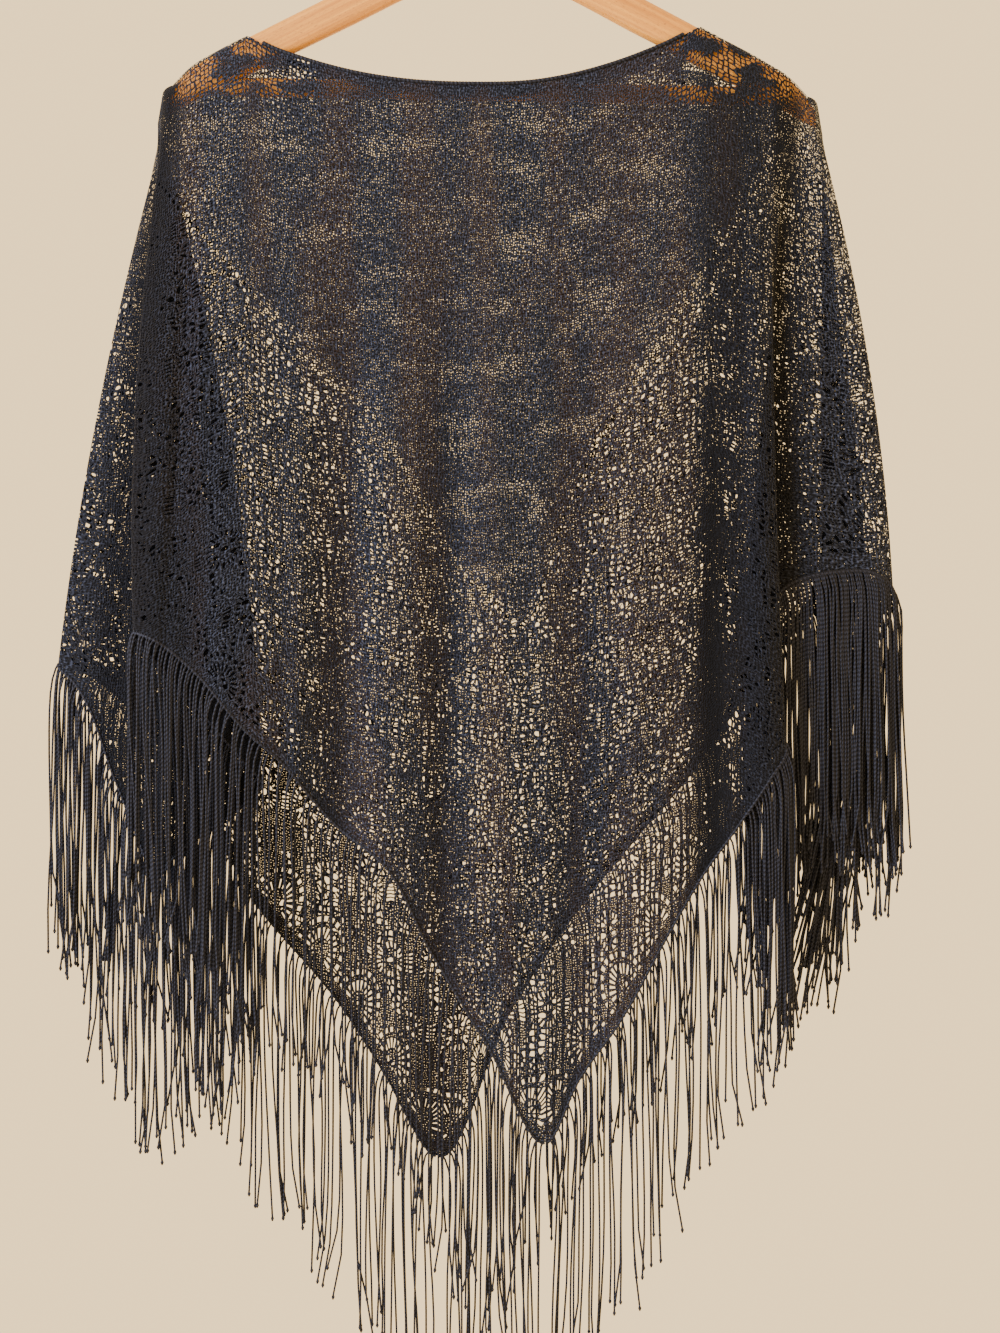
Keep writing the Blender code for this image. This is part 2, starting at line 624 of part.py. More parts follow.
def main():
    for leftover in list(bpy.data.objects):
        bpy.data.objects.remove(leftover)
    lace = material("black_lace", (0.024, 0.024, 0.029), 0.75)
    yarn = material("black_fringe_yarn", (0.012, 0.012, 0.015), 0.6)
    wood = material("pale_beech", (0.55, 0.31, 0.13), 0.45)
    steel = material("bright_steel", (0.6, 0.6, 0.6), 0.25, 1.0)

    hanger_arms(wood)
    hanger_bar(wood)
    hanger_hook(steel)

    middle, normal, across, marks = cloth_grid()
    last = middle.shape[1] - 1
    corner = marks["right_corner", 1.0]
    stretches = {
        "front_panel": (0, corner),
        "back_panel": (corner, last),
    }
    for name, (start, end) in stretches.items():
        points = parted(middle, across, start, end)
        normals = normal[:, start : end + 1]
        panel(name, lace, points, normals)
        inside = (
            (points[0, :, 0] > NECKLINE["x"][0] + NECK_EDGE_INSET)
            & (points[0, :, 0] < NECKLINE["x"][-1] - NECK_EDGE_INSET)
        )
        neck_edge("neck_edge_" + name.split("_")[0], lace, points[:, inside], normals[:, inside])

    chance = np.random.default_rng(FRINGE_SEED)
    front_point = marks["front_point", -1.0]
    back_point = marks["back_point", 1.0]
    edges = {
        "fringe_front_left": (0, front_point),
        "fringe_front_right": (front_point, corner),
        "fringe_back_right": (corner, back_point),
        "fringe_back_left": (back_point, last),
    }
    for name, (start, end) in edges.items():
        hem = parted(middle, across, start, end)[-1]
        stretch = slice(start, end + 1)
        fringe(name, yarn, hem, normal[-1, stretch], across[-1, stretch], chance)


main()
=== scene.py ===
"""Looks of a black lace poncho shawl with a long fringe, hanging on a beech hanger.

Metres in the finished pieces, millimetres in the tables, where MM turns them to metres. The front
faces -Y. The cloth is one ring of columns that fall from the hanger to the hem, as in the part's own
solids, read here at many more places.
"""

import math
import types

import bpy
import numpy as np
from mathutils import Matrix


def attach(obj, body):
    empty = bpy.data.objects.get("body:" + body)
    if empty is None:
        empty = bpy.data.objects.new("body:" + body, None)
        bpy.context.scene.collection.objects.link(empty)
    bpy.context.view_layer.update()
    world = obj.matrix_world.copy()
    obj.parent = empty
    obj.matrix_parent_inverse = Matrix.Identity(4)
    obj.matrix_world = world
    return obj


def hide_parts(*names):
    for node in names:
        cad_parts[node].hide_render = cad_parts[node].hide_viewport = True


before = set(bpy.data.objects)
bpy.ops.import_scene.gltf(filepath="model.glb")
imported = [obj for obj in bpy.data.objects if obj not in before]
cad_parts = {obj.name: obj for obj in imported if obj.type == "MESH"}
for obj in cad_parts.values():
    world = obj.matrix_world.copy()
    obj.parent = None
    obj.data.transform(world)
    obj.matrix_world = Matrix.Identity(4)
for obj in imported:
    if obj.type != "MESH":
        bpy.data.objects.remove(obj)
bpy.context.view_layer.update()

MM = 0.001

# The hanger.
ARM_HALF_THICK = 6.0
ARM_TILT = 0.0175
RIDGE_X = 219.0
ARM_SHAPE = {
    "x": (0, 9, 40, 100, 160, 190, 206, 216, 225),
    "top": (-79, -80.5, -93.5, -124.2, -155.2, -171, -181, -191, -203),
    "face": (31, 30.5, 28, 27, 26, 25, 23, 19, 11),
}
BAR_HALF_THICK = 4.5
BAR_HEIGHT = 13.0
BAR_MIDDLE = -193.0
BAR_REACH = (-196.4, 196.4)
HOOK_WIRE_RADIUS = 1.75
HOOK_INNER_RADIUS = 20.0
HOOK_FOOT = -78.7

# The ring of cloth round the arms.
CLOTH_RADIUS = 7.55
RING_QUARTER = RIDGE_X + math.pi / 2 * CLOTH_RADIUS
RIM_HALF_GAP = 0.4
END_RADIUS = 2.0
END_OPENING = 8.0
STRAIGHT_FALL = 19.0
FLARE = 1.4
DEPTH_LEAD = 1.8
NECKLINE = {
    "x": (-169, -151, -130, -96, -62, -14, 34, 68, 103, 127, 146),
    "z": (-155, -165, -172.6, -182, -187.7, -190.4, -188.4, -181.5, -170, -159.6, -149),
}
NECK_EDGE_INSET = 9.0

# One row for each fold or bend of the ring. "along" is the place on the arm's ridge, past its end it
# goes on round it. The hem columns give the place at the bottom edge and "bow" bends the line between.
FRONT_STATIONS = (
    # name, along, hem_x, hem_y, hem_z, bow, cells
    ("left_corner", -230.6, -232.9, 0.0, -736, 0, 2),
    ("left_under", -230.1, -205, -6.0, -710, 6, 3),
    ("left_inner_in", -229.5, -168, -8.5, -684, 13, 2),
    ("left_inner_fold", -228.3, -156, -13.0, -671, 15, 2),
    ("left_inner_out", -227.0, -168, -17.5, -655, 13, 3),
    ("left_outer_in", -224.2, -227, -20.5, -587, -6, 2),
    ("left_outer_fold", -221.5, -241.8, -25.0, -567, -8, 2),
    ("left_outer_out", -217.0, -229, -29.5, -571, -8, 2),
    ("left_front", -208, -205, -30.0, -589, -4, 3),
    ("left_neck", -170, -163, -25.0, -636, 0, 4),
    ("left_neck_in", -160, -145, -22.0, -652, 0, 3),
    ("left_middle", -119, -104, -18.0, -700, 0, 3),
    ("left_low", -88, -73, -17.0, -724, 0, 3),
    ("left_point_in", -52, -41, -17.0, -784, 0, 3),
    ("left_point", -17, -1, -17.0, -849, 0, 3),
    ("front_point", 16, 39, -17.0, -914.5, 0, 3),
    ("right_point", 41, 61, -17.0, -872, 0, 3),
    ("right_point_in", 74, 90, -17.5, -829, 0, 3),
    ("right_low", 110, 120, -18.0, -775, 0, 2),
    ("right_neck_in", 137, 142, -20.0, -738, 0, 4),
    ("right_neck", 147, 158, -22.0, -714, 0, 2),
    ("right_breast", 170, 177, -25.5, -686, 0, 2),
    ("right_pleat_out", 184, 191, -28.0, -664, -2, 2),
    ("right_pleat_fold", 192, 201.4, -23.5, -646, -3, 2),
    ("right_pleat_in", 198, 190, -19.5, -627, -2, 1),
    ("right_hidden_out", 202, 180, -18.3, -610, 0, 2),
    ("right_hidden_fold", 206, 169.9, -13.5, -592, 0, 2),
    ("right_hidden_in", 209, 181, -8.7, -572, 0, 2),
    ("right_wing", 211, 203, -7.6, -535, 1, 2),
    ("right_wing_out", 216, 236, -7.0, -525, 4, 2),
    ("right_edge_out", 221.5, 267, -6.0, -527, 8, 2),
    ("right_edge_fold", 224.6, 278, -1.5, -537, 9, 2),
    ("right_edge_in", 227, 268, 3.0, -560, 7, 2),
    ("right_corner_out", 229, 242, 4.0, -618, 3, 2),
    ("right_corner", 230.6, 229.5, 8.0, -642, 0, 0),
)
BACK_STATIONS = (
    # name, along, hem_x, hem_y, hem_z, bow, cells
    ("right_corner", 230.6, 229.5, 8.0, -642, 0, 2),
    ("right_corner_in", 229, 242, 12.0, -612, 2, 2),
    ("right_back_out", 227, 253, 13.0, -560, 3, 2),
    ("right_back_fold", 224, 263, 17.5, -527, 3, 2),
    ("right_back_in", 220.5, 250, 22.0, -535, 2, 2),
    ("right_back", 205, 222, 23.5, -556, 0, 4),
    ("right_back_neck", 147, 158, 22.0, -640, 0, 4),
    ("right_back_neck_in", 137, 142, 21.0, -663, 0, 3),
    ("right_back_low", 107, 107, 19.0, -704, 0, 4),
    ("right_back_point_in", 58, 61, 17.0, -759, 0, 3),
    ("right_back_point", 16, 14, 17.0, -831, 0, 4),
    ("back_point", -26, -37.7, 17.0, -931.5, 0, 4),
    ("left_back_point", -66, -75, 17.0, -873, 0, 4),
    ("left_back_point_in", -108, -114, 18.0, -815, 0, 3),
    ("left_back_low", -135, -140, 19.5, -784, 0, 2),
    ("left_back_neck_in", -160, -163, 21.0, -757, 0, 4),
    ("left_back_neck", -170, -181, 22.0, -727, 0, 3),
    ("left_back", -196, -219, 23.0, -664, -1, 3),
    ("left_back_wing", -213, -255, 22.0, -617, -4, 3),
    ("left_edge_out", -220.5, -289, 18.4, -592, -7, 2),
    ("left_edge_fold", -224, -301.4, 13.0, -589, -8, 2),
    ("left_edge_in", -226.5, -289, 7.6, -601, -6, 3),
    ("left_corner_in", -229, -260, 4.0, -668, -2, 2),
    ("left_corner", -230.6, -232.9, 0.0, -736, 0, 0),
)

# Soft hanging folds. A positive depth is a trough away from the front, "lean" is the sideways drift
# for each mm of fall. They start below FOLD_START and are full from FOLD_FULL down.
FRONT_FOLDS = (
    # name, x, width, depth, lean
    ("under_left_arm", -203, 13, 5.0, 0.00),
    ("left_trough", -106, 20, 7.0, 0.02),
    ("left_ridge", -70, 17, -5.0, 0.02),
    ("middle_trough", -34, 17, 6.5, 0.01),
    ("middle_ridge", 8, 19, -6.0, -0.02),
    ("right_shallow", 57, 17, 4.0, 0.00),
    ("right_ridge", 103, 20, -6.0, 0.02),
    ("right_trough", 150, 15, 7.0, 0.01),
    ("wing_ridge", 228, 13, -3.0, -0.05),
)
BACK_FOLDS = (
    # name, x, width, depth, lean
    ("under_left_arm", -203, 13, 5.0, 0.00),
    ("left_ridge", -150, 18, -4.0, 0.01),
    ("left_swell", -95, 22, 6.0, -0.02),
    ("middle_ridge", -42, 19, -5.5, 0.01),
    ("middle_swell", 14, 20, 6.5, 0.02),
    ("right_ridge", 66, 18, -5.0, -0.01),
    ("right_swell", 118, 20, 5.0, 0.02),
    ("wing_ridge", 228, 13, -3.0, -0.05),
)
FOLD_START = -215.0
FOLD_FULL = -560.0
LAYER_REACH = 26.0

# Small creases laid over the folds, unevenly: they start at "from" and last to the hem.
FRONT_CREASES = (
    # name, x, width, depth, lean, from
    ("fold_b", -200, 4.0, 2.2, 0.055, -212),
    ("soft_pleat", -192, 5.5, -1.6, 0.03, -225),
    ("under_neck_left", -148, 6.0, 1.5, -0.02, -230),
    ("thin_left", -122, 4.5, -1.1, 0.03, -300),
    ("beside_trough", -90, 5.0, 1.2, 0.03, -340),
    ("middle_left", -52, 4.5, -1.2, -0.03, -380),
    ("middle_line", -16, 5.0, 1.3, 0.04, -330),
    ("middle_right", 30, 5.5, -1.4, -0.02, -290),
    ("thin_right", 46, 4.0, 1.0, 0.05, -420),
    ("right_line", 78, 5.0, 1.4, -0.03, -320),
    ("right_thin", 126, 4.5, -1.2, 0.02, -260),
    ("pleat_shoulder", 172, 5.0, 1.8, 0.00, -205),
    ("wing_line", 246, 5.0, 1.4, -0.10, -230),
)
BACK_CREASES = (
    # name, x, width, depth, lean, from
    ("back_far_left", -188, 5.0, 1.6, 0.05, -230),
    ("back_left", -128, 5.0, -1.4, 0.02, -260),
    ("back_left_thin", -70, 4.5, 1.2, -0.03, -330),
    ("back_middle", -12, 5.5, -1.4, 0.03, -280),
    ("back_middle_thin", 40, 4.5, 1.2, 0.02, -360),
    ("back_right", 92, 5.0, -1.3, -0.03, -300),
    ("back_right_thin", 150, 5.0, 1.5, 0.02, -240),
    ("back_wing", 214, 5.0, -1.5, -0.06, -235),
)

# Painted shade for the cloth of each station, from 0 in the light to 1 deep in a fold. The others get 0.
PAINTED_FOLD_SHADE = {
    "left_corner": 1.0, "left_under": 1.0, "left_inner_in": 1.0, "left_inner_fold": 1.0,
    "left_inner_out": 1.0, "left_outer_in": 0.9, "right_neck": 0.5, "right_breast": 0.65,
    "right_pleat_out": 0.6, "right_pleat_fold": 0.5, "right_pleat_in": 1.0, "right_hidden_out": 1.0,
    "right_hidden_fold": 1.0, "right_hidden_in": 1.0, "right_wing": 0.75, "right_corner_out": 0.6,
    "right_corner": 0.8, "right_corner_in": 0.7, "right_back_out": 0.4, "right_back": 0.3,
    "left_corner_in": 0.8, "left_back": 0.4, "left_back_wing": 0.7, "left_outer_fold": 0.9,
    "left_outer_out": 0.8, "left_edge_out": 0.5, "left_edge_fold": 0.2, "left_edge_in": 0.5,
    "right_back_neck": 0.3, "left_back_neck": 0.2, "right_neck_in": 0.15,
}
# Only the cloth this near the middle counts where a row's middle is looked for.
MIDDLE_REACH = 60.0
# Upright bands of painted warm light, where the yarn is drawn browner as if warm light came through the
# layers: place from the middle of the panel, and half width.
PAINTED_WARM_BANDS = ((-58, 20), (8, 10), (70, 10), (130, 30), (172, 12), (-132, 18), (-252, 12), (-288, 28))

# Kinds of node that the finishes use most.
MATH = "ShaderNodeMath"
VECTOR_MATH = "ShaderNodeVectorMath"
RANGE = "ShaderNodeMapRange"
MIX = "ShaderNodeMix"
NOISE = "ShaderNodeTexNoise"
PARTS = "ShaderNodeSeparateXYZ"
SMOOTH = "SMOOTHSTEP"

# How finely the cloth is read.
COLUMNS_PER_CELL = 4
CAP_SHARES = (0.0, 0.12, 0.3, 0.6, 1.0)
FALL_SHARES = 52

# The lace. The border runs along the hems. Its width as seen is the first number left of the point and
# the second right of it, and turns from one to the other within BORDER_TURN mm of hem. One mm of fall
# counts as ACROSS_SHARE mm across the cloth.
BORDER_WIDTH = 215.0
BORDER_SEEN = (190.0, 248.0)
BORDER_TURN = 90.0
ACROSS_SHARE = 0.6
# The cloth is bunched where the side folds hang, from these places along the arm outwards, and it is
# stretched over the arms' ends.
BUNCHED_FROM = 165.0
BUNCHED_FULL = 190.0
STRETCHED_X = (90.0, 140.0)
STRETCHED_Z = (-216.0, -192.0)

# The motifs, in mm, wide and high. They repeat upright, each row shifted by half a repeat. A ladder's
# slits are drawn 2.7 mm apart, coarser than the real 2 mm, so that they show.
MOTIF_REPEAT = (38.0, 47.0)
DIAMOND_HALF = (13.0, 18.0)
LADDER_HALF = (2.9, 6.7)
RUNG_STEP = 2.7
RUNG_HALF_GAP = 0.85
HALF_SLIT = 0.72
FAN_STEP = 46.0
FAN_RISE = 9.0
END_HOLE_STEP = 7.0
# Meshes of the ground net. The small one is drawn a little coarser than the real 1.7 mm.
SMALL_MESH = (2.1, 1.8)
LARGE_MESH = (6.6, 4.3)
DRAWN_MESH = (3.9, 3.3)
THREAD_WANDER = 7.0
# Taken from the depth of a gap in mm, this closes it.
CLOSED = -9.0
# How far the back's motifs are shifted from the front's, beside and up.
BACK_SHIFT = (11.0, 26.0)
# How much painted shade a trough gets for each mm of its depth.
TROUGH_SHADE = 0.09

# Fringe.
STRAND_STEP = 3.3
STRAND_RADIUS = 0.72
STRAND_LENGTH = 200.0
STRAND_POINTS = 14
FRINGE_SEED = 11
# Each strand ends in a small knot: shares of its length where the knot starts, is widest and ends.
KNOT_SHARES = (0.984, 0.991, 1.0)
KNOT_RADIUS = 1.25
# Strands of the right corner, past this x and below this z, swing in by up to this much.
CORNER_FROM = (222.0, -575.0)
CORNER_SWING = 46.0
# Strands swing in small groups, and are longer or shorter than STRAND_LENGTH by these.
GROUP_SIZE = 7
GROUP_SWING = 3.4
STRAND_UNEVEN = (-30.0, 10.0)

# The neck edging, with a small knot at every stitch.
NECK_EDGE_RADIUS = 1.25
NECK_EDGE_RISE = 0.9
NECK_STITCH = 2.2

# The picture, in metres: its height at the shawl's front, its middle, and the camera's distance.
VIEW_HEIGHT = 0.913
VIEW_MIDDLE = (0.00685, -0.012, -0.5902)
VIEW_DISTANCE = 1.35
SENSOR = 36.0
FLOOR_RADIUS = 1.25
FLOOR_LEVEL = -1.62
FLOOR_SIDES = 96


def linear(hex_colour):
    """A linear colour from an sRGB hex value."""
    values = [int(hex_colour[k : k + 2], 16) / 255 for k in (1, 3, 5)]
    return tuple(v / 12.92 if v <= 0.04045 else ((v + 0.055) / 1.055) ** 2.4 for v in values) + (1.0,)


def ease(value):
    """A smooth step from 0 to 1."""
    value = np.clip(value, 0, 1)
    return value * value * (3 - 2 * value)


def slopes(at, values):
    """Slope at each point of an uneven table, from its two neighbours."""
    steps = np.diff(at)
    rises = np.diff(values) / steps
    inner = (rises[:-1] * steps[1:] + rises[1:] * steps[:-1]) / (steps[:-1] + steps[1:])
    return np.concatenate(([rises[0]], inner, [rises[-1]]))


def smooth_at(at, values, places):
    """A smooth curve through a table, read at the places given."""
    at, values, places = (np.asarray(v, dtype=float) for v in (at, values, places))
    slope = slopes(at, values)
    left = np.clip(np.searchsorted(at, places, side="right") - 1, 0, len(at) - 2)
    width = at[left + 1] - at[left]
    t = np.clip((places - at[left]) / width, 0, 1)
    rise = (1 + 2 * t) * (1 - t) ** 2 * values[left] + t * t * (3 - 2 * t) * values[left + 1]
    turn = t * (1 - t) ** 2 * slope[left] - t * t * (1 - t) * slope[left + 1]
    return rise + turn * width


def arm_top(x):
    """Height of the arms' top edge at x."""
    return smooth_at(ARM_SHAPE["x"], ARM_SHAPE["top"], np.abs(x)) - ARM_TILT * np.asarray(x)


def ring_columns():
    """The columns of the whole ring, and the column of each station."""
    rows = [(*row, -1.0) for row in FRONT_STATIONS[:-1]] + [(*row, 1.0) for row in BACK_STATIONS]
    hem = np.array([row[2:5] for row in rows], dtype=float)
    steps = np.linalg.norm(np.diff(hem, axis=0), axis=1)
    at = np.concatenate(([0.0], np.cumsum(steps)))
    places = [0.0]
    marks = {}
    for number, row in enumerate(rows[:-1]):
        marks[row[0], row[7]] = len(places) - 1
        cells = row[6] * COLUMNS_PER_CELL
        places += [at[number] + steps[number] * (cell + 1) / cells for cell in range(cells)]
    ring = [row[1] if row[7] < 0 else 2 * RING_QUARTER - row[1] for row in rows]
    columns = {
        "ring": np.interp(places, at, ring),
        "x": smooth_at(at, hem[:, 0], places),
        "y": smooth_at(at, hem[:, 1], places),
        "z": smooth_at(at, hem[:, 2], places),
        "bow": smooth_at(at, [row[5] for row in rows], places),
        # painted shade of each station's cloth
        "deep": np.interp(places, at, [PAINTED_FOLD_SHADE.get(row[0], 0.0) for row in rows]),
    }
    return columns, marks


def cap_points(ring, share):
    """Points of the cloth over the arm: share 0 is the top edge, share 1 one radius lower."""
    front = ring < RING_QUARTER
    along = np.where(front, ring, 2 * RING_QUARTER - ring)
    over_arm = np.clip(along, -RIDGE_X, RIDGE_X)
    turn = np.maximum(np.abs(along) - RIDGE_X, 0) / CLOTH_RADIUS
    ridge = arm_top(over_arm) + CLOTH_RADIUS - ARM_HALF_THICK
    neck_from, neck_to = NECKLINE["x"][0], NECKLINE["x"][-1]
    slack = smooth_at(NECKLINE["x"], NECKLINE["z"], np.clip(along, neck_from, neck_to))
    in_neck = (along > neck_from) & (along < neck_to)
    rim = np.where(in_neck, np.minimum(ridge, slack), ridge)
    short_of = np.clip(CLOTH_RADIUS - (ridge - rim + share * CLOTH_RADIUS), 0, CLOTH_RADIUS)
    radius = np.sqrt(CLOTH_RADIUS**2 - short_of**2)
    near_end = ease((np.abs(along) - RIDGE_X + END_OPENING) / END_OPENING)
    radius = np.maximum(radius, RIM_HALF_GAP + near_end * (END_RADIUS - RIM_HALF_GAP))
    x = over_arm + np.copysign(radius * np.sin(turn), along)
    y = np.where(front, -1.0, 1.0) * radius * np.cos(turn)
    return np.stack((x, y, rim - share * CLOTH_RADIUS), axis=-1)


def fold_depth(folds, x, z):
    """How far the soft folds push the cloth back."""
    depth = sum(
        push * np.exp(-(((x - place - lean * (z - FOLD_FULL)) / width) ** 2))
        for name, place, width, push, lean in folds
    )
    return depth * ease((FOLD_START - z) / (FOLD_START - FOLD_FULL))


def crease_depth(creases, x, z):
    """How far the small creases push the cloth back."""
    return sum(
        push * np.exp(-(((x - place - lean * (z - start)) / width) ** 2)) * ease((start - z) / 120)
        for name, place, width, push, lean, start in creases
    )


def folded(points):
    """Moves points by the folds and creases: the front's at the front, the back's at the back."""
    x, y, z = (points[..., k] for k in range(3))
    to_back = np.clip(0.5 + y / (2 * LAYER_REACH), 0, 1)
    front = fold_depth(FRONT_FOLDS, x, z)
    back = fold_depth(BACK_FOLDS, x, z)
    push = front * (1 - to_back) + back * to_back
    push = push + crease_depth(FRONT_CREASES, x, z) * ease((-y - 9) / 12)
    push = push + crease_depth(BACK_CREASES, x, z) * ease((y - 9) / 10)
    return np.stack((x, y + push, z), axis=-1)


def cloth_points():
    """All points of the ring of cloth, [row, column], the column of each station, and the columns."""
    columns, marks = ring_columns()
    rows = [cap_points(columns["ring"], share) for share in CAP_SHARES]
    foot = rows[-1] - np.array((0, 0, STRAIGHT_FALL))
    over_arm = np.clip(foot[:, 0], -RIDGE_X, RIDGE_X)
    foot[:, 0] = over_arm + (foot[:, 0] - over_arm) * FLARE
    foot[:, 1] *= FLARE
    rows.append((rows[-1] + foot) / 2)
    hem = np.stack([columns[axis] for axis in "xyz"], axis=-1)
    for share in np.linspace(0, 1, FALL_SHARES):
        point = foot + (hem - foot) * share
        point[:, 1] = foot[:, 1] + (hem[:, 1] - foot[:, 1]) * (1 - (1 - share) ** DEPTH_LEAD)
        point[:, 0] += columns["bow"] * 4 * share * (1 - share)
        rows.append(folded(point))
    points = np.array(rows)
    points[:, -1] = points[:, 0]
    along = np.where(columns["ring"] < RING_QUARTER, columns["ring"], 2 * RING_QUARTER - columns["ring"])
    columns["bunched"] = ease((np.abs(along) - BUNCHED_FROM) / (BUNCHED_FULL - BUNCHED_FROM))
    return points, marks, columns


def mesh_object(name, points, faces, finish, layers=None):
    """A mesh piece from points in mm, faces of equal size, and flat coordinates for each corner."""
    points = np.asarray(points, dtype=np.float32) * MM
    faces = np.asarray(faces, dtype=np.int32)
    mesh = bpy.data.meshes.new(name)
    mesh.vertices.add(len(points))
    mesh.vertices.foreach_set("co", points.ravel())
    mesh.loops.add(faces.size)
    mesh.loops.foreach_set("vertex_index", faces.ravel())
    mesh.polygons.add(len(faces))
    mesh.polygons.foreach_set("loop_start", np.arange(len(faces), dtype=np.int32) * faces.shape[1])
    mesh.polygons.foreach_set("use_smooth", np.full(len(faces), True))
    mesh.update(calc_edges=True)
    for layer, values in (layers or {}).items():
        flat = np.asarray(values, dtype=np.float32)[faces.ravel()]
        mesh.uv_layers.new(name=layer).data.foreach_set("uv", flat.ravel())
    mesh.materials.append(finish)
    piece = bpy.data.objects.new(name, mesh)
    bpy.context.scene.collection.objects.link(piece)
    return piece


def grid_faces(rows, columns):
    """Four-sided faces of a grid of points, facing out when columns run left to right as seen."""
    number = np.arange(rows * columns).reshape(rows, columns)
    corners = (number[:-1, :-1], number[1:, :-1], number[1:, 1:], number[:-1, 1:])
    return np.stack([corner.ravel() for corner in corners], axis=-1)


def distance_along(points):
    """Running length of a line of points."""
    steps = np.linalg.norm(np.diff(points, axis=0), axis=1)
    return np.concatenate(([0.0], np.cumsum(steps)))


def length_at_middle(x, wale):
    """Running length where a row crosses the middle of the shawl."""
    near = np.abs(x) < MIDDLE_REACH
    order = np.argsort(x[near])
    return np.interp(0.0, x[near][order], wale[near][order])


def lace_panel(name, points, columns, point_column, is_back, troughs, finish):
    """One panel of the shawl, with its wales and its border laid out in metres.

    The layer "give" holds how stretched and how bunched the cloth is, and the layer "tone" the painted
    shade of the folds it lies in and the painted warm light that draws its yarn browner, each from 0 to
    1.
    The layer "top" holds the way down from the top edge, and 1 for the back. Troughs is the depth of the
    soft folds in mm, which gives painted shade.
    """
    rows, count = points.shape[:2]
    fall = np.array([distance_along(points[::-1, k])[::-1] for k in range(count)]).T
    middle_row = rows // 2
    wale = distance_along(points[middle_row])
    if is_back:
        wale = wale[-1] - wale
    wale = wale - length_at_middle(points[middle_row, :, 0], wale)
    hem = distance_along(points[-1])
    hem = hem - hem[point_column]
    seen = np.interp(hem, (-BORDER_TURN, BORDER_TURN), BORDER_SEEN) / BORDER_WIDTH
    across = fall * ACROSS_SHARE
    layers = {
        "wales": np.stack((np.broadcast_to(wale, fall.shape), fall[0] - fall), axis=-1),
        "border": np.stack((np.abs(hem) + across, across / seen), axis=-1),
    }
    layers = {key: value.reshape(-1, 2) * MM for key, value in layers.items()}
    top = np.stack((fall[0] - fall, np.full(fall.shape, float(is_back))), axis=-1)
    layers["top"] = top.reshape(-1, 2) * (MM, 1.0)
    x, z = np.abs(points[..., 0]), points[..., 2]
    stretched = ease((x - STRETCHED_X[0]) / (STRETCHED_X[1] - STRETCHED_X[0]))
    stretched = stretched * ease((z - STRETCHED_Z[0]) / (STRETCHED_Z[1] - STRETCHED_Z[0]))
    give = np.stack((stretched, np.broadcast_to(columns["bunched"], fall.shape)), axis=-1)
    layers["give"] = give.reshape(-1, 2)
    # Painted warm light: the yarn is drawn browner in upright bands.
    warm = sum(np.exp(-(((wale - place) / width) ** 2)) for place, width in PAINTED_WARM_BANDS)
    # Painted shade: the stations' fold shade and the troughs.
    deep = np.clip(columns["deep"] + TROUGH_SHADE * np.clip(troughs, 0, None), 0, 1)
    tone = np.stack((deep, np.broadcast_to(np.clip(warm, 0, 1), fall.shape)), axis=-1)
    layers["tone"] = tone.reshape(-1, 2)
    return mesh_object(name, points.reshape(-1, 3), grid_faces(rows, count), finish, layers)


def tubes(name, routes, radii, sides, finish):
    """Round cords along routes of equal length, all in one mesh. Radii are one for each point."""
    routes = np.asarray(routes, dtype=float)
    count, length = routes.shape[:2]
    radii = np.broadcast_to(np.asarray(radii, dtype=float), (count, length))
    ahead = np.gradient(routes, axis=1)
    ahead /= np.linalg.norm(ahead, axis=2, keepdims=True)
    guide = np.array((0.0, 1.0, 0.0))
    side = np.cross(ahead, guide)
    side /= np.maximum(np.linalg.norm(side, axis=2, keepdims=True), 1e-6)
    over = np.cross(side, ahead)
    angles = np.arange(sides + 1) * 2 * math.pi / sides
    ring = np.cos(angles)[:, None] * side[:, :, None] + np.sin(angles)[:, None] * over[:, :, None]
    points = routes[:, :, None] + ring * radii[:, :, None, None]
    number = np.arange(count * length * (sides + 1)).reshape(count, length, sides + 1)
    corners = (number[:, :-1, :-1], number[:, :-1, 1:], number[:, 1:, 1:], number[:, 1:, :-1])
    faces = np.stack([corner.ravel() for corner in corners], axis=-1)
    steps = np.linalg.norm(np.diff(routes, axis=1), axis=2)
    run = np.concatenate((np.zeros((count, 1)), np.cumsum(steps, axis=1)), axis=1)
    turn = np.broadcast_to(np.arange(sides + 1) / sides, (count, length, sides + 1))
    flat = np.stack((turn, np.broadcast_to(run[:, :, None] * MM, turn.shape)), axis=-1)
    layers = {"cord": flat.reshape(-1, 2)}
    return mesh_object(name, points.reshape(-1, 3), faces, finish, layers)


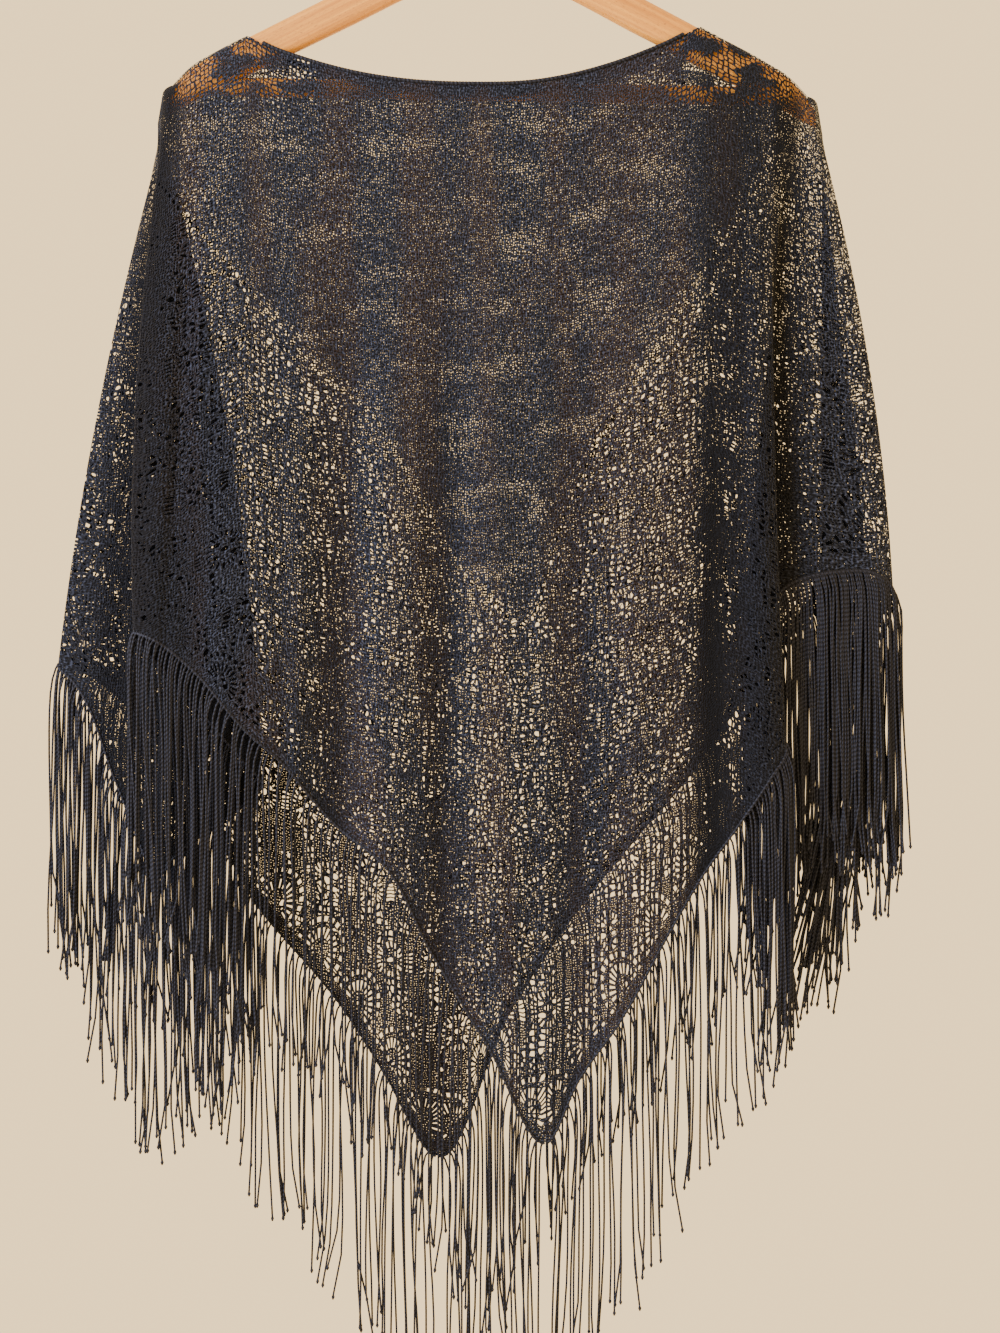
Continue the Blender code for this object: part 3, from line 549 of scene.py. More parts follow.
def fringe_routes(hem, crowd, away, chance):
    """Routes of the strands along a stretch of hem. Each leaves it as an arch, and pairs close up."""
    # Strands are counted by the cloth's width, and stand closer where it is bunched.
    steps = np.diff(hem, axis=0)
    steps[:, 2] *= 0.2
    steps = np.linalg.norm(steps, axis=1) * (1 + (crowd[1:] + crowd[:-1]) / 2)
    run = np.concatenate(([0.0], np.cumsum(steps)))
    count = int(run[-1] / STRAND_STEP)
    starts = (np.arange(count) + 0.5) * STRAND_STEP + chance.uniform(-0.8, 0.8, count)
    share = np.linspace(0, 1, STRAND_POINTS - 2) ** 1.6 * KNOT_SHARES[0]
    share = np.concatenate((share, KNOT_SHARES[1:]))
    routes = []
    swing = 0.0
    for number, start in enumerate(starts):
        if number % GROUP_SIZE == 0:
            swing = chance.uniform(-GROUP_SWING, GROUP_SWING)
        toward = STRAND_STEP * (0.24 if number % 2 == 0 else -0.24)
        lean = chance.normal(0, 2.7) + swing
        sway = chance.normal(0, 0.9)
        curl = chance.normal(0, 3.2)
        base = np.array([np.interp(start, run, hem[:, k]) for k in range(3)])
        reach = away * chance.uniform(3.2, 6.0)
        if base[0] > CORNER_FROM[0] and base[2] < CORNER_FROM[1]:
            lean -= chance.uniform(0, CORNER_SWING)
        drop = share * (STRAND_LENGTH + chance.uniform(*STRAND_UNEVEN))
        pull = 1 - np.exp(-drop / chance.uniform(5.0, 9.0))
        wave = chance.uniform(0.4, 1.2) * np.sin(share * chance.uniform(5, 9) + chance.uniform(0, 6))
        x = base[0] + reach * pull + toward * (1 - np.exp(-drop / 45.0)) + lean * share**1.4
        x = x + wave * pull + curl * ease((share - 0.8) / 0.2)
        y = base[1] + sway * share + chance.uniform(-0.5, 0.5) * pull
        routes.append(np.stack((x, y, base[2] + 1.0 - drop), axis=-1))
    return np.array(routes)


def fringe(name, hem, crowd, away, finish, chance):
    """One side's fringe with the firm cord that its strands are looped round."""
    routes = fringe_routes(hem, crowd, away, chance)
    radii = np.full(STRAND_POINTS, STRAND_RADIUS)
    radii[-2] = KNOT_RADIUS
    radii[-1] = STRAND_RADIUS * 0.6
    strands = tubes(name, routes, radii, 5, finish)
    run = distance_along(hem)
    places = np.arange(0.3, run[-1] - 0.3, 1.3)
    cord = np.stack([np.interp(places, run, hem[:, k]) for k in range(3)], axis=-1)
    cord[:, 2] -= 0.6
    beads = 0.9 + 0.28 * np.sin(places * 2 * math.pi / STRAND_STEP)
    edge = tubes(name + "_edge", cord[None], beads, 6, finish)
    join(strands, edge)
    return strands


def join(piece, *others):
    """Joins other pieces into one."""
    with bpy.context.temp_override(
        active_object=piece, object=piece, selected_editable_objects=[piece, *others]
    ):
        bpy.ops.object.join()


def add(tree, kind, inputs=(), **settings):
    """Adds a node with its settings and links. Inputs are values, nodes or sockets, by place or name."""
    made = tree.nodes.new(kind)
    for key, value in settings.items():
        setattr(made, key, value)
    pairs = inputs.items() if isinstance(inputs, dict) else enumerate(inputs)
    for key, value in pairs:
        if value is None:
            continue
        if isinstance(value, bpy.types.Node):
            value = value.outputs[0]
        if isinstance(value, bpy.types.NodeSocket):
            tree.links.new(value, made.inputs[key])
        else:
            made.inputs[key].default_value = value
    return made


def new_finish(name, roughness, **sockets):
    """A material with one Principled shader and its constant values."""
    made = bpy.data.materials.new(name)
    made.use_nodes = True
    shader = made.node_tree.nodes["Principled BSDF"]
    shader.inputs["Roughness"].default_value = roughness
    for key, value in sockets.items():
        shader.inputs[key.replace("_", " ")].default_value = value
    return made, made.node_tree, shader


def surface(tree, shader, colour, height, strength, depth):
    """Gives a shader its colour, and its relief from a height, this deep in metres."""
    bump = add(tree, "ShaderNodeBump", {"Height": height, "Strength": strength, "Distance": depth})
    tree.links.new(colour, shader.inputs["Base Color"])
    tree.links.new(bump.outputs[0], shader.inputs["Normal"])


def net(tree, place, wide, high, randomness, feature="DISTANCE_TO_EDGE"):
    """Distance in a net with meshes of this width and height, in parts of a mesh.

    It runs from the threads, or with the feature F1 from the middle of each mesh.
    """
    place = add(tree, VECTOR_MATH, [place, (1 / wide, 1 / high, 1.0)], operation="MULTIPLY")
    made = add(
        tree, "ShaderNodeTexVoronoi", {"Vector": place, "Scale": 1.0, "Randomness": randomness},
        voronoi_dimensions="2D", feature=feature,
    )
    return made.outputs["Distance"]


def repeated(tree, value, step, shift=0.0):
    """Distance in mm from the nearest of a row of marks, one every step."""
    value = add(tree, MATH, [value, 1 / step, shift + 0.5], operation="MULTIPLY_ADD")
    value = add(tree, MATH, [value], operation="FRACT")
    value = add(tree, MATH, [value, step, -step / 2], operation="MULTIPLY_ADD")
    return add(tree, MATH, [value], operation="ABSOLUTE")


def oval_hole(tree, beside, up, centre, half_width, half_height):
    """How far inside an oval hole a place lies, in mm."""
    beside = add(tree, MATH, [beside, 1 / half_width, -centre[0] / half_width], operation="MULTIPLY_ADD")
    up = add(tree, MATH, [up, 1 / half_height, -centre[1] / half_height], operation="MULTIPLY_ADD")
    offset = add(tree, "ShaderNodeCombineXYZ", [beside, up])
    offset = add(tree, VECTOR_MATH, [offset], operation="LENGTH").outputs["Value"]
    return add(tree, MATH, [offset, -half_height, half_height], operation="MULTIPLY_ADD")


def combined(tree, operation, values):
    """Several values taken together by one operation, such as the largest of them."""
    found = values[0]
    for value in values[1:]:
        found = add(tree, MATH, [found, value], operation=operation)
    return found


def fan(tree, beside, up, inner, outer, slits, half_slit):
    """Slits that stand round a centre like a fan's sticks, from the inner to the outer radius."""
    place = add(tree, "ShaderNodeCombineXYZ", [beside, up])
    reach = add(tree, VECTOR_MATH, [place], operation="LENGTH").outputs["Value"]
    turn = add(tree, MATH, [up, beside], operation="ARCTAN2")
    turn = add(tree, MATH, [turn, slits / (2 * math.pi)], operation="MULTIPLY")
    turn = add(tree, MATH, [turn], operation="FRACT")
    turn = add(tree, MATH, [turn, 0.5], operation="SUBTRACT")
    turn = add(tree, MATH, [turn], operation="ABSOLUTE")
    middle = (inner + outer) / 2
    slit = add(tree, MATH, [turn, -2 * math.pi * middle / slits, half_slit], operation="MULTIPLY_ADD")
    start = add(tree, MATH, [reach, inner], operation="SUBTRACT")
    stop = add(tree, MATH, [outer, reach], operation="SUBTRACT")
    return combined(tree, "MINIMUM", [slit, start, stop])


def patches(tree, spot, wide, high, least_cloud):
    """Soft upright or flat patches of this size, from 0 to 1, the same through both layers."""
    place = add(tree, VECTOR_MATH, [spot, (1 / wide, 0.0, 1 / high)], operation="MULTIPLY")
    cloud = add(tree, NOISE, {"Vector": place, "Scale": 1.0, "Detail": 1.0})
    full_cloud = least_cloud + 0.16
    return add(tree, RANGE, [cloud.outputs["Fac"], least_cloud, full_cloud], interpolation_type=SMOOTH)


def lace_places(tree):
    """Where a place lies on the cloth, in mm, and how the cloth hangs there, in shares from 0 to 1."""
    at = types.SimpleNamespace()
    parts = {}
    for layer, unit in (("wales", MM), ("border", MM), ("give", 1.0), ("tone", 1.0), ("top", 1.0)):
        flat = add(tree, "ShaderNodeUVMap", uv_map=layer)
        parts[layer] = add(tree, VECTOR_MATH, [flat, (1 / unit, 1 / unit, 1.0)], operation="MULTIPLY")
    at.wales = parts["wales"]
    # Threads wander by about a millimetre, as washed lace does.
    wander = add(tree, NOISE, {"Vector": at.wales, "Scale": 0.06, "Detail": 2.0}, noise_dimensions="2D")
    wander = add(tree, VECTOR_MATH, [wander.outputs["Color"], (0.5, 0.5, 0.5)], operation="SUBTRACT")
    wander = add(tree, VECTOR_MATH, {0: wander, "Scale": THREAD_WANDER}, operation="SCALE")
    at.threads = add(tree, VECTOR_MATH, [at.wales, wander], operation="ADD")
    parts["wales"] = at.threads
    parts = {layer: add(tree, PARTS, [flat]).outputs for layer, flat in parts.items()}
    at.wale, at.fall = parts["wales"]["X"], parts["wales"]["Y"]
    at.along, at.across = parts["border"]["X"], parts["border"]["Y"]
    at.stretched, at.bunched = parts["give"]["X"], parts["give"]["Y"]
    # The tone layer holds the folds' painted shade and the painted warm light.
    at.deep, at.warm = parts["tone"]["X"], parts["tone"]["Y"]
    at.top, at.is_back = parts["top"]["X"], parts["top"]["Y"]
    at.spot = add(tree, "ShaderNodeTexCoord").outputs["Object"]
    for share, reach in (
        ("inside", (BORDER_WIDTH - 3, BORDER_WIDTH + 3)),
        ("hem_zone", (34.0, 27.0)),
        ("hem_band", (6.6, 5.0)),
        ("near_hem", (110.0, 55.0)),
    ):
        setattr(at, share, add(tree, RANGE, [at.across, *reach], interpolation_type=SMOOTH))
    return at


def motif_gaps(tree, at):
    """How far inside a motif's gap a place lies, in mm, and how solid the dense diamonds are."""
    repeat_wide, repeat_high = MOTIF_REPEAT
    lowered = add(tree, MATH, [at.is_back, BACK_SHIFT[1], at.fall], operation="MULTIPLY_ADD")
    moved = add(tree, MATH, [at.is_back, BACK_SHIFT[0], at.wale], operation="MULTIPLY_ADD")
    row = add(tree, MATH, [lowered, repeat_high], operation="DIVIDE")
    row_number = add(tree, MATH, [row], operation="FLOOR")
    height = repeated(tree, row, 1.0, 0.5)
    height = add(tree, MATH, [height, repeat_high], operation="MULTIPLY")
    # Each row is shifted by half a repeat.
    aside = add(tree, MATH, [row_number, repeat_wide / 2, moved], operation="MULTIPLY_ADD")
    aside = repeated(tree, aside, repeat_wide)
    from_side = add(tree, MATH, [aside, -1.0, repeat_wide / 2], operation="MULTIPLY_ADD")

    # Dense diamond with a ladder of five slits up its middle.
    diamond = add(tree, MATH, [aside, DIAMOND_HALF[0]], operation="DIVIDE")
    diamond = add(tree, MATH, [height, 1 / DIAMOND_HALF[1], diamond], operation="MULTIPLY_ADD")
    solid = add(tree, RANGE, [diamond, 1.12, 0.86], interpolation_type=SMOOTH)
    rung = repeated(tree, height, RUNG_STEP)
    rung = add(tree, MATH, [rung, -1.0, RUNG_HALF_GAP], operation="MULTIPLY_ADD")
    ladder_end = add(tree, MATH, [height, -1.0, LADDER_HALF[1]], operation="MULTIPLY_ADD")
    ladder_side = add(tree, MATH, [aside, -1.0, LADDER_HALF[0]], operation="MULTIPLY_ADD")
    ladder = combined(tree, "MINIMUM", [rung, ladder_end, ladder_side])
    # Rosette of five oval holes with slits standing round it.
    centre_hole = oval_hole(tree, from_side, height, (0.0, 0.0), 2.6, 1.8)
    outer_hole = oval_hole(tree, from_side, height, (5.4, 4.2), 2.4, 1.6)
    slits = fan(tree, from_side, height, 8.8, 12.4, 20.0, HALF_SLIT)
    # Along the hem: fans, and a row of small holes over them.
    hem_step = repeated(tree, at.along, FAN_STEP, 0.5)
    hem_rise = add(tree, MATH, [at.across, FAN_RISE], operation="SUBTRACT")
    hem_fan = fan(tree, hem_step, hem_rise, 7.5, 13.0, 22.0, HALF_SLIT)
    hem_holes = fan(tree, hem_step, hem_rise, 16.4, 19.2, 22.0, 1.35)
    # Where the border ends inside: one row of holes.
    end_step = repeated(tree, at.along, END_HOLE_STEP)
    end_rise = add(tree, MATH, [at.across, BORDER_WIDTH - 6.0], operation="SUBTRACT")
    end_rise = add(tree, MATH, [end_rise], operation="ABSOLUTE")
    end_hole = oval_hole(tree, end_step, end_rise, (0.0, 0.0), 2.2, 1.7)
    upright = combined(tree, "MAXIMUM", [ladder, centre_hole, outer_hole, slits])
    upright = add(tree, MATH, [at.hem_zone, CLOSED, upright], operation="MULTIPLY_ADD")
    opening = combined(tree, "MAXIMUM", [upright, hem_fan, hem_holes, end_hole])
    # Nothing opens in the firm band along the hem, nor inside the border's end. In the painted shade of
    # the folds the gaps close too, so the cloth there reads darker.
    for share, change in ((at.hem_band, CLOSED), (at.inside, CLOSED), (at.deep, -0.9)):
        opening = add(tree, MATH, [share, change, opening], operation="MULTIPLY_ADD")
    return opening, solid


def net_gaps(tree, at, rim, solid):
    """How far inside a gap of the net a place lies, and its distance from a small hole's middle."""
    # The threads are drawn apart in flat patches inside and in upright stretches in the border. The
    # layers hang on each other, so both give way in the same places.
    flat_patch = patches(tree, at.spot, 0.046, 0.014, 0.49)
    upright_patch = patches(tree, at.spot, 0.012, 0.022, 0.40)
    stripe = patches(tree, at.spot, 0.021, 0.400, 0.38)
    stripe = add(tree, MATH, [stripe, 0.6, 0.4], operation="MULTIPLY_ADD")
    upright_patch = add(tree, MATH, [upright_patch, stripe], operation="MULTIPLY")
    patch = add(tree, MIX, {0: at.inside, 2: upright_patch, 3: flat_patch}).outputs[0]
    # Small round holes. Inside the border the back's are the wider ones, so the front's show as dots.
    stitches = net(tree, at.threads, *SMALL_MESH, 0.45, "F1")
    wider = add(tree, MATH, [at.is_back, 0.11, -0.075], operation="MULTIPLY_ADD")
    radius = add(tree, MATH, [patch, 0.095, 0.243], operation="MULTIPLY_ADD")
    # In the painted shade of the folds the holes are drawn smaller.
    changes = ((at.near_hem, -0.07), (at.inside, wider), (at.bunched, 0.05), (at.deep, -0.15))
    for share, change in changes:
        radius = add(tree, MATH, [share, change, radius], operation="MULTIPLY_ADD")
    small = add(tree, MATH, [radius, stitches], operation="SUBTRACT")
    small = add(tree, MATH, [small, 2.0], operation="MULTIPLY")
    # Open stretches of the border: large meshes with an upright thread beside each.
    large_mesh = net(tree, at.threads, *LARGE_MESH, 0.62)
    upright_thread = repeated(tree, at.wale, LARGE_MESH[0], 0.5)
    upright_thread = add(tree, MATH, [upright_thread, 0.55], operation="SUBTRACT")
    large = add(tree, MATH, [large_mesh, 0.19], operation="SUBTRACT")
    large = add(tree, MATH, [large, 4.8], operation="MULTIPLY")
    large = add(tree, MATH, [large, upright_thread], operation="MINIMUM")
    # Over the arms' ends patches of the net are drawn out.
    drawn_out = net(tree, at.threads, *DRAWN_MESH, 0.45)
    drawn_out = add(tree, MATH, [drawn_out, 0.155], operation="SUBTRACT")
    drawn_out = add(tree, MATH, [drawn_out, 3.4], operation="MULTIPLY")
    pulled = patches(tree, at.spot, 0.024, 0.013, 0.38)
    pulled = add(tree, MATH, [pulled, at.stretched], operation="MULTIPLY")
    small = add(tree, MATH, [at.stretched, -0.16, small], operation="MULTIPLY_ADD")
    small = add(tree, MIX, {0: pulled, 2: small, 3: drawn_out}).outputs[0]
    # How open the border's ground is: least in diamonds, at rims, in the hem band and in the painted
    # shade of the folds.
    loose = add(tree, MATH, [patch, 1.1, -0.05], operation="MULTIPLY_ADD")
    firm = combined(tree, "MAXIMUM", [solid, rim, at.hem_band])
    for share, change in ((at.near_hem, -0.2), (at.deep, -0.6), (firm, -1.0)):
        loose = add(tree, MATH, [share, change, loose], operation="MULTIPLY_ADD")
    loose = add(tree, RANGE, [loose, 0.1, 0.4], interpolation_type=SMOOTH)
    for share in (at.inside, at.stretched):
        loose = add(tree, MATH, [loose, share], operation="SUBTRACT")
    loose = add(tree, MATH, [loose, 0.0], operation="MAXIMUM")
    ground = add(tree, MIX, {0: loose, 2: small, 3: large}).outputs[0]
    # The cloth is knitted firm along the neck slit and the shoulder line.
    firm_reach = add(tree, MATH, [at.stretched, -0.005, 0.009], operation="MULTIPLY_ADD")
    firm_end = add(tree, MATH, [firm_reach, 0.5], operation="MULTIPLY")
    firm_top = add(tree, RANGE, [at.top, firm_reach, firm_end], interpolation_type=SMOOTH)
    for share, change in ((rim, -0.35), (at.hem_band, -0.25), (firm_top, -0.35)):
        ground = add(tree, MATH, [share, change, ground], operation="MULTIPLY_ADD")
    return ground, stitches


def lace_yarn(tree, at, twist, pit_relief_and_shade):
    """Charcoal yarn, browner in random stretches and in bands of painted warm light, with a painted
    highlight on its crests and painted shade in its pits and folds.
    """
    # The yarn is browner in random stretches and more so in the bands of painted warm light; it is kept
    # cooler where the cloth is bunched.
    shade = add(tree, VECTOR_MATH, [at.wales, (1 / 42.0, 1 / 190.0, 1.0)], operation="MULTIPLY")
    shade = add(tree, NOISE, {"Vector": shade, "Scale": 1.0, "Detail": 3.0}, noise_dimensions="2D")
    even = add(tree, MATH, [at.bunched, -0.35, 1.0], operation="MULTIPLY_ADD")
    shade = add(tree, MATH, [shade.outputs["Fac"], even], operation="MULTIPLY")
    shade = add(tree, MATH, [at.warm, 0.3, shade], operation="MULTIPLY_ADD")
    shade = add(tree, RANGE, [shade, 0.5, 0.75, 0.0, 1.0])
    # Painted highlight: the yarn is drawn lighter and bluer on the crests of its twist.
    painted_crest_highlight = add(tree, RANGE, [twist, 0.42, 0.70, 0.0, 0.9])
    yarn = linear("#0c0e13")
    # Painted shade: little light reaches the pits between the threads and the inside of the folds, so
    # the yarn is painted near black there.
    stretches = ((shade, "#20150b"), (painted_crest_highlight, "#3a404f"), (pit_relief_and_shade, "#040405"), (at.deep, "#040405"))
    for share, colour in stretches:
        yarn = add(tree, MIX, {0: share, 6: yarn, 7: linear(colour)}, data_type="RGBA").outputs[2]
    return yarn


def knitted_lace(name):
    """Warp-knitted acrylic lace: matt black yarn, open between its threads.

    The ground is a fine net. The border has upright repeats of dense diamonds with a ladder in each,
    rosettes of oval holes ringed by slits between them, and fans along the hem.
    """
    made, tree, shader = new_finish(
        name, 0.75, Specular_IOR_Level=0.1, Sheen_Weight=0.05, Sheen_Roughness=0.4
    )
    at = lace_places(tree)
    opening, solid = motif_gaps(tree, at)
    rim = add(tree, RANGE, [opening, -1.5, -0.5], interpolation_type=SMOOTH)
    ground, stitches = net_gaps(tree, at, rim, solid)
    gap = add(tree, MATH, [ground, opening], operation="MAXIMUM")
    alpha = add(tree, RANGE, [gap, -0.08, 0.14, 1.0, 0.0])
    tree.links.new(alpha.outputs[0], shader.inputs["Alpha"])
    twist = add(
        tree, NOISE, {"Vector": at.wales, "Scale": 0.6, "Detail": 2.0},
        noise_dimensions="2D",
    ).outputs["Fac"]
    # Between the threads lie small pits, also where no hole goes through: they give relief, and their
    # painted shade darkens the yarn.
    pit_relief_and_shade = add(tree, RANGE, [stitches, 0.15, 0.55, 0.9, 0.0])
    relief = add(tree, RANGE, [gap, -0.9, 0.1, 1.0, 0.0])
    relief = add(tree, MATH, [twist, 0.9, relief], operation="MULTIPLY_ADD")
    relief = add(tree, MATH, [pit_relief_and_shade, -0.7, relief], operation="MULTIPLY_ADD")
    surface(tree, shader, lace_yarn(tree, at, twist, pit_relief_and_shade), relief, 0.8, 0.0006)
    return made


def twisted_cord(name):
    """Two-ply acrylic fringe cord: near black, with a painted highlight along the raised plies of its
    twist of 3 mm.
    """
    made, tree, shader = new_finish(
        name, 0.6, Specular_IOR_Level=0.15, Sheen_Weight=0.04, Sheen_Roughness=0.35
    )
    flat = add(tree, "ShaderNodeUVMap", uv_map="cord")
    parts = add(tree, PARTS, [flat])
    ply_relief_and_highlight = add(tree, MATH, [parts.outputs["Y"], 1 / 0.003], operation="MULTIPLY")
    ply_relief_and_highlight = add(tree, MATH, [ply_relief_and_highlight, parts.outputs["X"]], operation="ADD")
    ply_relief_and_highlight = add(tree, MATH, [ply_relief_and_highlight, 2 * math.pi], operation="MULTIPLY")
    ply_relief_and_highlight = add(tree, MATH, [ply_relief_and_highlight], operation="SINE")
    ply_relief_and_highlight = add(tree, MATH, [ply_relief_and_highlight, 0.5, 0.5], operation="MULTIPLY_ADD")
    # Painted highlight: the raised ply is drawn lighter.
    shades = {0: ply_relief_and_highlight, 6: linear("#09090c"), 7: linear("#20222a")}
    yarn = add(tree, MIX, shades, data_type="RGBA")
    surface(tree, shader, yarn.outputs[2], ply_relief_and_highlight, 0.6, 0.0003)
    return made


def lacquered_beech(name):
    """Pale beech under clear satin lacquer: fine straight grain and short darker flecks."""
    made, tree, shader = new_finish(name, 0.38, Coat_Weight=0.25, Coat_Roughness=0.25)
    place = add(tree, "ShaderNodeTexCoord").outputs["Object"]
    parts = add(tree, PARTS, [place])
    level = add(tree, MATH, [parts.outputs["X"]], operation="ABSOLUTE")
    # The arms slope by about 27 degrees, and the grain follows them.
    across = add(tree, MATH, [level, 0.51, parts.outputs["Z"]], operation="MULTIPLY_ADD")
    grain = add(tree, "ShaderNodeCombineXYZ", [parts.outputs["X"], parts.outputs["Y"], across])
    # Growth rings about 2 mm apart, drawn out along the wood.
    rings = add(tree, VECTOR_MATH, [grain, (14.0, 400.0, 480.0)], operation="MULTIPLY")
    rings = add(tree, NOISE, {"Vector": rings, "Scale": 1.0, "Detail": 4.0})
    flecks = add(tree, VECTOR_MATH, [grain, (420.0, 1800.0, 2200.0)], operation="MULTIPLY")
    flecks = add(tree, NOISE, {"Vector": flecks, "Scale": 1.0, "Detail": 1.0})
    flecks = add(tree, RANGE, [flecks.outputs["Fac"], 0.60, 0.70, 0.0, 0.6])
    tone = add(tree, RANGE, [rings.outputs["Fac"], 0.3, 0.7, 0.0, 1.0])
    shades = {0: tone, 6: linear("#cb8b30"), 7: linear("#ab6b1e")}
    wood = add(tree, MIX, shades, data_type="RGBA")
    shades = {0: flecks, 6: wood.outputs[2], 7: linear("#7a4a22")}
    wood = add(tree, MIX, shades, data_type="RGBA")
    surface(tree, shader, wood.outputs[2], rings.outputs["Fac"], 0.12, 0.0004)
    return made


def plated_wire(name):
    """Bright nickel-plated steel wire with faint drawing lines."""
    made, tree, shader = new_finish(name, 0.22, Metallic=1.0)
    place = add(tree, "ShaderNodeTexCoord").outputs["Object"]
    marks = add(tree, NOISE, {"Vector": place, "Scale": 900.0, "Detail": 2.0})
    rough = add(tree, RANGE, [marks.outputs["Fac"], 0.3, 0.7, 0.16, 0.34])
    shades = {0: marks.outputs["Fac"], 6: linear("#c9c8c4"), 7: linear("#b2b1ae")}
    tone = add(tree, MIX, shades, data_type="RGBA")
    tree.links.new(tone.outputs[2], shader.inputs["Base Color"])
    tree.links.new(rough.outputs[0], shader.inputs["Roughness"])
    return made


def plain_floor(name):
    """Matt pale floor."""
    made, tree, shader = new_finish(name, 0.9)
    place = add(tree, "ShaderNodeTexCoord").outputs["Object"]
    mottle = add(tree, NOISE, {"Vector": place, "Scale": 3.0, "Detail": 2.0})
    shades = {0: mottle.outputs["Fac"], 6: linear("#e8e2d6"), 7: linear("#e2dccf")}
    tone = add(tree, MIX, shades, data_type="RGBA")
    tree.links.new(tone.outputs[2], shader.inputs["Base Color"])
    return made


def stadium(x, top, height, half_thick, steps):
    """A wooden section at x, round along its top and bottom edges."""
    reach = min(half_thick, height / 2)
    points = []
    for start, middle in ((0, top - reach), (180, top - height + reach)):
        for step in range(steps + 1):
            turn = math.radians(start + 180 * step / steps)
            points.append((x, half_thick * math.cos(turn), middle + reach * math.sin(turn)))
    return points


def lofted(name, sections, finish):
    """A closed piece through equal loops of points, with its ends drawn together."""
    sections = np.asarray(sections, dtype=float)
    count, size = sections.shape[:2]
    number = np.arange(count * size).reshape(count, size)
    beside = np.roll(number, -1, axis=1)
    corners = (number[:-1], beside[:-1], beside[1:], number[1:])
    faces = np.stack([corner.ravel() for corner in corners], axis=-1)
    return mesh_object(name, sections.reshape(-1, 3), faces, finish)


def hanger_arms(finish):
    """Both shoulder arms, bent from one length of wood."""
    outer = np.concatenate((np.linspace(0, 210, 43), np.linspace(212, 224.9, 16)))
    places = np.concatenate((-outer[:0:-1], outer))
    sections = []
    for x in places:
        over = max(abs(x) - RIDGE_X, 0)
        half = math.sqrt(ARM_HALF_THICK**2 - over**2)
        face = float(smooth_at(ARM_SHAPE["x"], ARM_SHAPE["face"], abs(x)))
        sections.append(stadium(x, float(arm_top(x)), face, half, 14))
    for end in (0, -1):
        middle = np.mean(sections[end], axis=0)
        closed = [tuple(middle)] * len(sections[end])
        sections = [closed] + sections if end == 0 else sections + [closed]
    return lofted("beech_arms", sections, finish)


def hanger_bar(finish):
    """The lower bar."""
    sections = [
        stadium(x, BAR_MIDDLE + BAR_HEIGHT / 2 - ARM_TILT * x, BAR_HEIGHT, BAR_HALF_THICK, 14)
        for x in np.linspace(*BAR_REACH, 24)
    ]
    return lofted("beech_bar", sections, finish)


def wire_hook(finish):
    """The steel hook: a stem, a small bend and most of a turn."""
    radius = HOOK_INNER_RADIUS + HOOK_WIRE_RADIUS
    route = [(0.0, HOOK_FOOT), (0.0, -66.0), (0.0, -58.0), (0.4, -52.0), (2.6, -46.5), (7.0, -41.6)]
    for degrees in range(-55, 206, 5):
        turn = math.radians(degrees)
        route.append((radius * math.cos(turn), -HOOK_INNER_RADIUS + radius * math.sin(turn)))
    run = np.arange(len(route))
    fine = np.linspace(0, run[-1], 4 * len(route))
    x, z = (smooth_at(run, values, fine) for values in zip(*route))
    radii = np.full(len(fine), HOOK_WIRE_RADIUS)
    radii[0] = radii[-1] = 0.05
    radii[-2] = HOOK_WIRE_RADIUS * 0.75
    return tubes("wire_hook", np.stack((x, 0 * x, z), axis=-1)[None], radii, 20, finish)


def neck_edge(name, points, finish):
    """The firm rolled edge along one side of the neck slit."""
    inside = (points[0, :, 0] > NECKLINE["x"][0] + NECK_EDGE_INSET) & (
        points[0, :, 0] < NECKLINE["x"][-1] - NECK_EDGE_INSET
    )
    line = points[0, inside].copy()
    run = distance_along(line)
    places = np.arange(0, run[-1], 0.55)
    line = np.stack([np.interp(places, run, line[:, k]) for k in range(3)], axis=-1)
    line[:, 2] += NECK_EDGE_RISE
    radii = NECK_EDGE_RADIUS + 0.2 * np.abs(np.sin(places * math.pi / NECK_STITCH))
    radii[0] = radii[-1] = 0.1
    return tubes(name, line[None], radii, 8, finish)


def area_light(name, place, aim, size, power, colour):
    """A soft square light."""
    data = bpy.data.lights.new(name, "AREA")
    data.shape = "SQUARE"
    data.size = size
    data.energy = power
    data.color = linear(colour)[:3]
    lamp = bpy.data.objects.new(name, data)
    bpy.context.scene.collection.objects.link(lamp)
    lamp.location = place
    way = np.array(aim) - np.array(place)
    way /= np.linalg.norm(way)
    lamp.rotation_euler = (math.acos(-way[2]), 0, math.atan2(way[0], -way[1]) + math.pi)
    return lamp


def pale_floor():
    """A plain round floor under the shawl."""
    mesh = bpy.data.meshes.new("floor")
    turns = [2 * math.pi * k / FLOOR_SIDES for k in range(FLOOR_SIDES)]
    ring = [(FLOOR_RADIUS * math.cos(t), FLOOR_RADIUS * math.sin(t), FLOOR_LEVEL) for t in turns]
    mesh.from_pydata(ring, [], [list(range(FLOOR_SIDES))])
    mesh.materials.append(plain_floor("matt_pale_floor"))
    floor = bpy.data.objects.new("floor", mesh)
    bpy.context.scene.collection.objects.link(floor)


def studio():
    """Cool light from a window at the left, and warm light from round about."""
    area_light("window", (-1.8, -1.3, 0.3), (0, 0, -0.5), 1.2, 190, "#d2dfff")
    area_light("fill", (1.7, -1.5, -0.5), (0, 0, -0.6), 1.6, 14, "#fff0dc")
    area_light("wall_glow", (0.4, 1.8, 0.2), (0, 0, -0.5), 1.8, 30, "#ffdca8")
    world = bpy.data.worlds.new("studio")
    world.use_nodes = True
    sky = world.node_tree.nodes["Background"]
    sky.inputs["Color"].default_value = linear("#f6d39c")
    sky.inputs["Strength"].default_value = 2.2
    bpy.context.scene.world = world


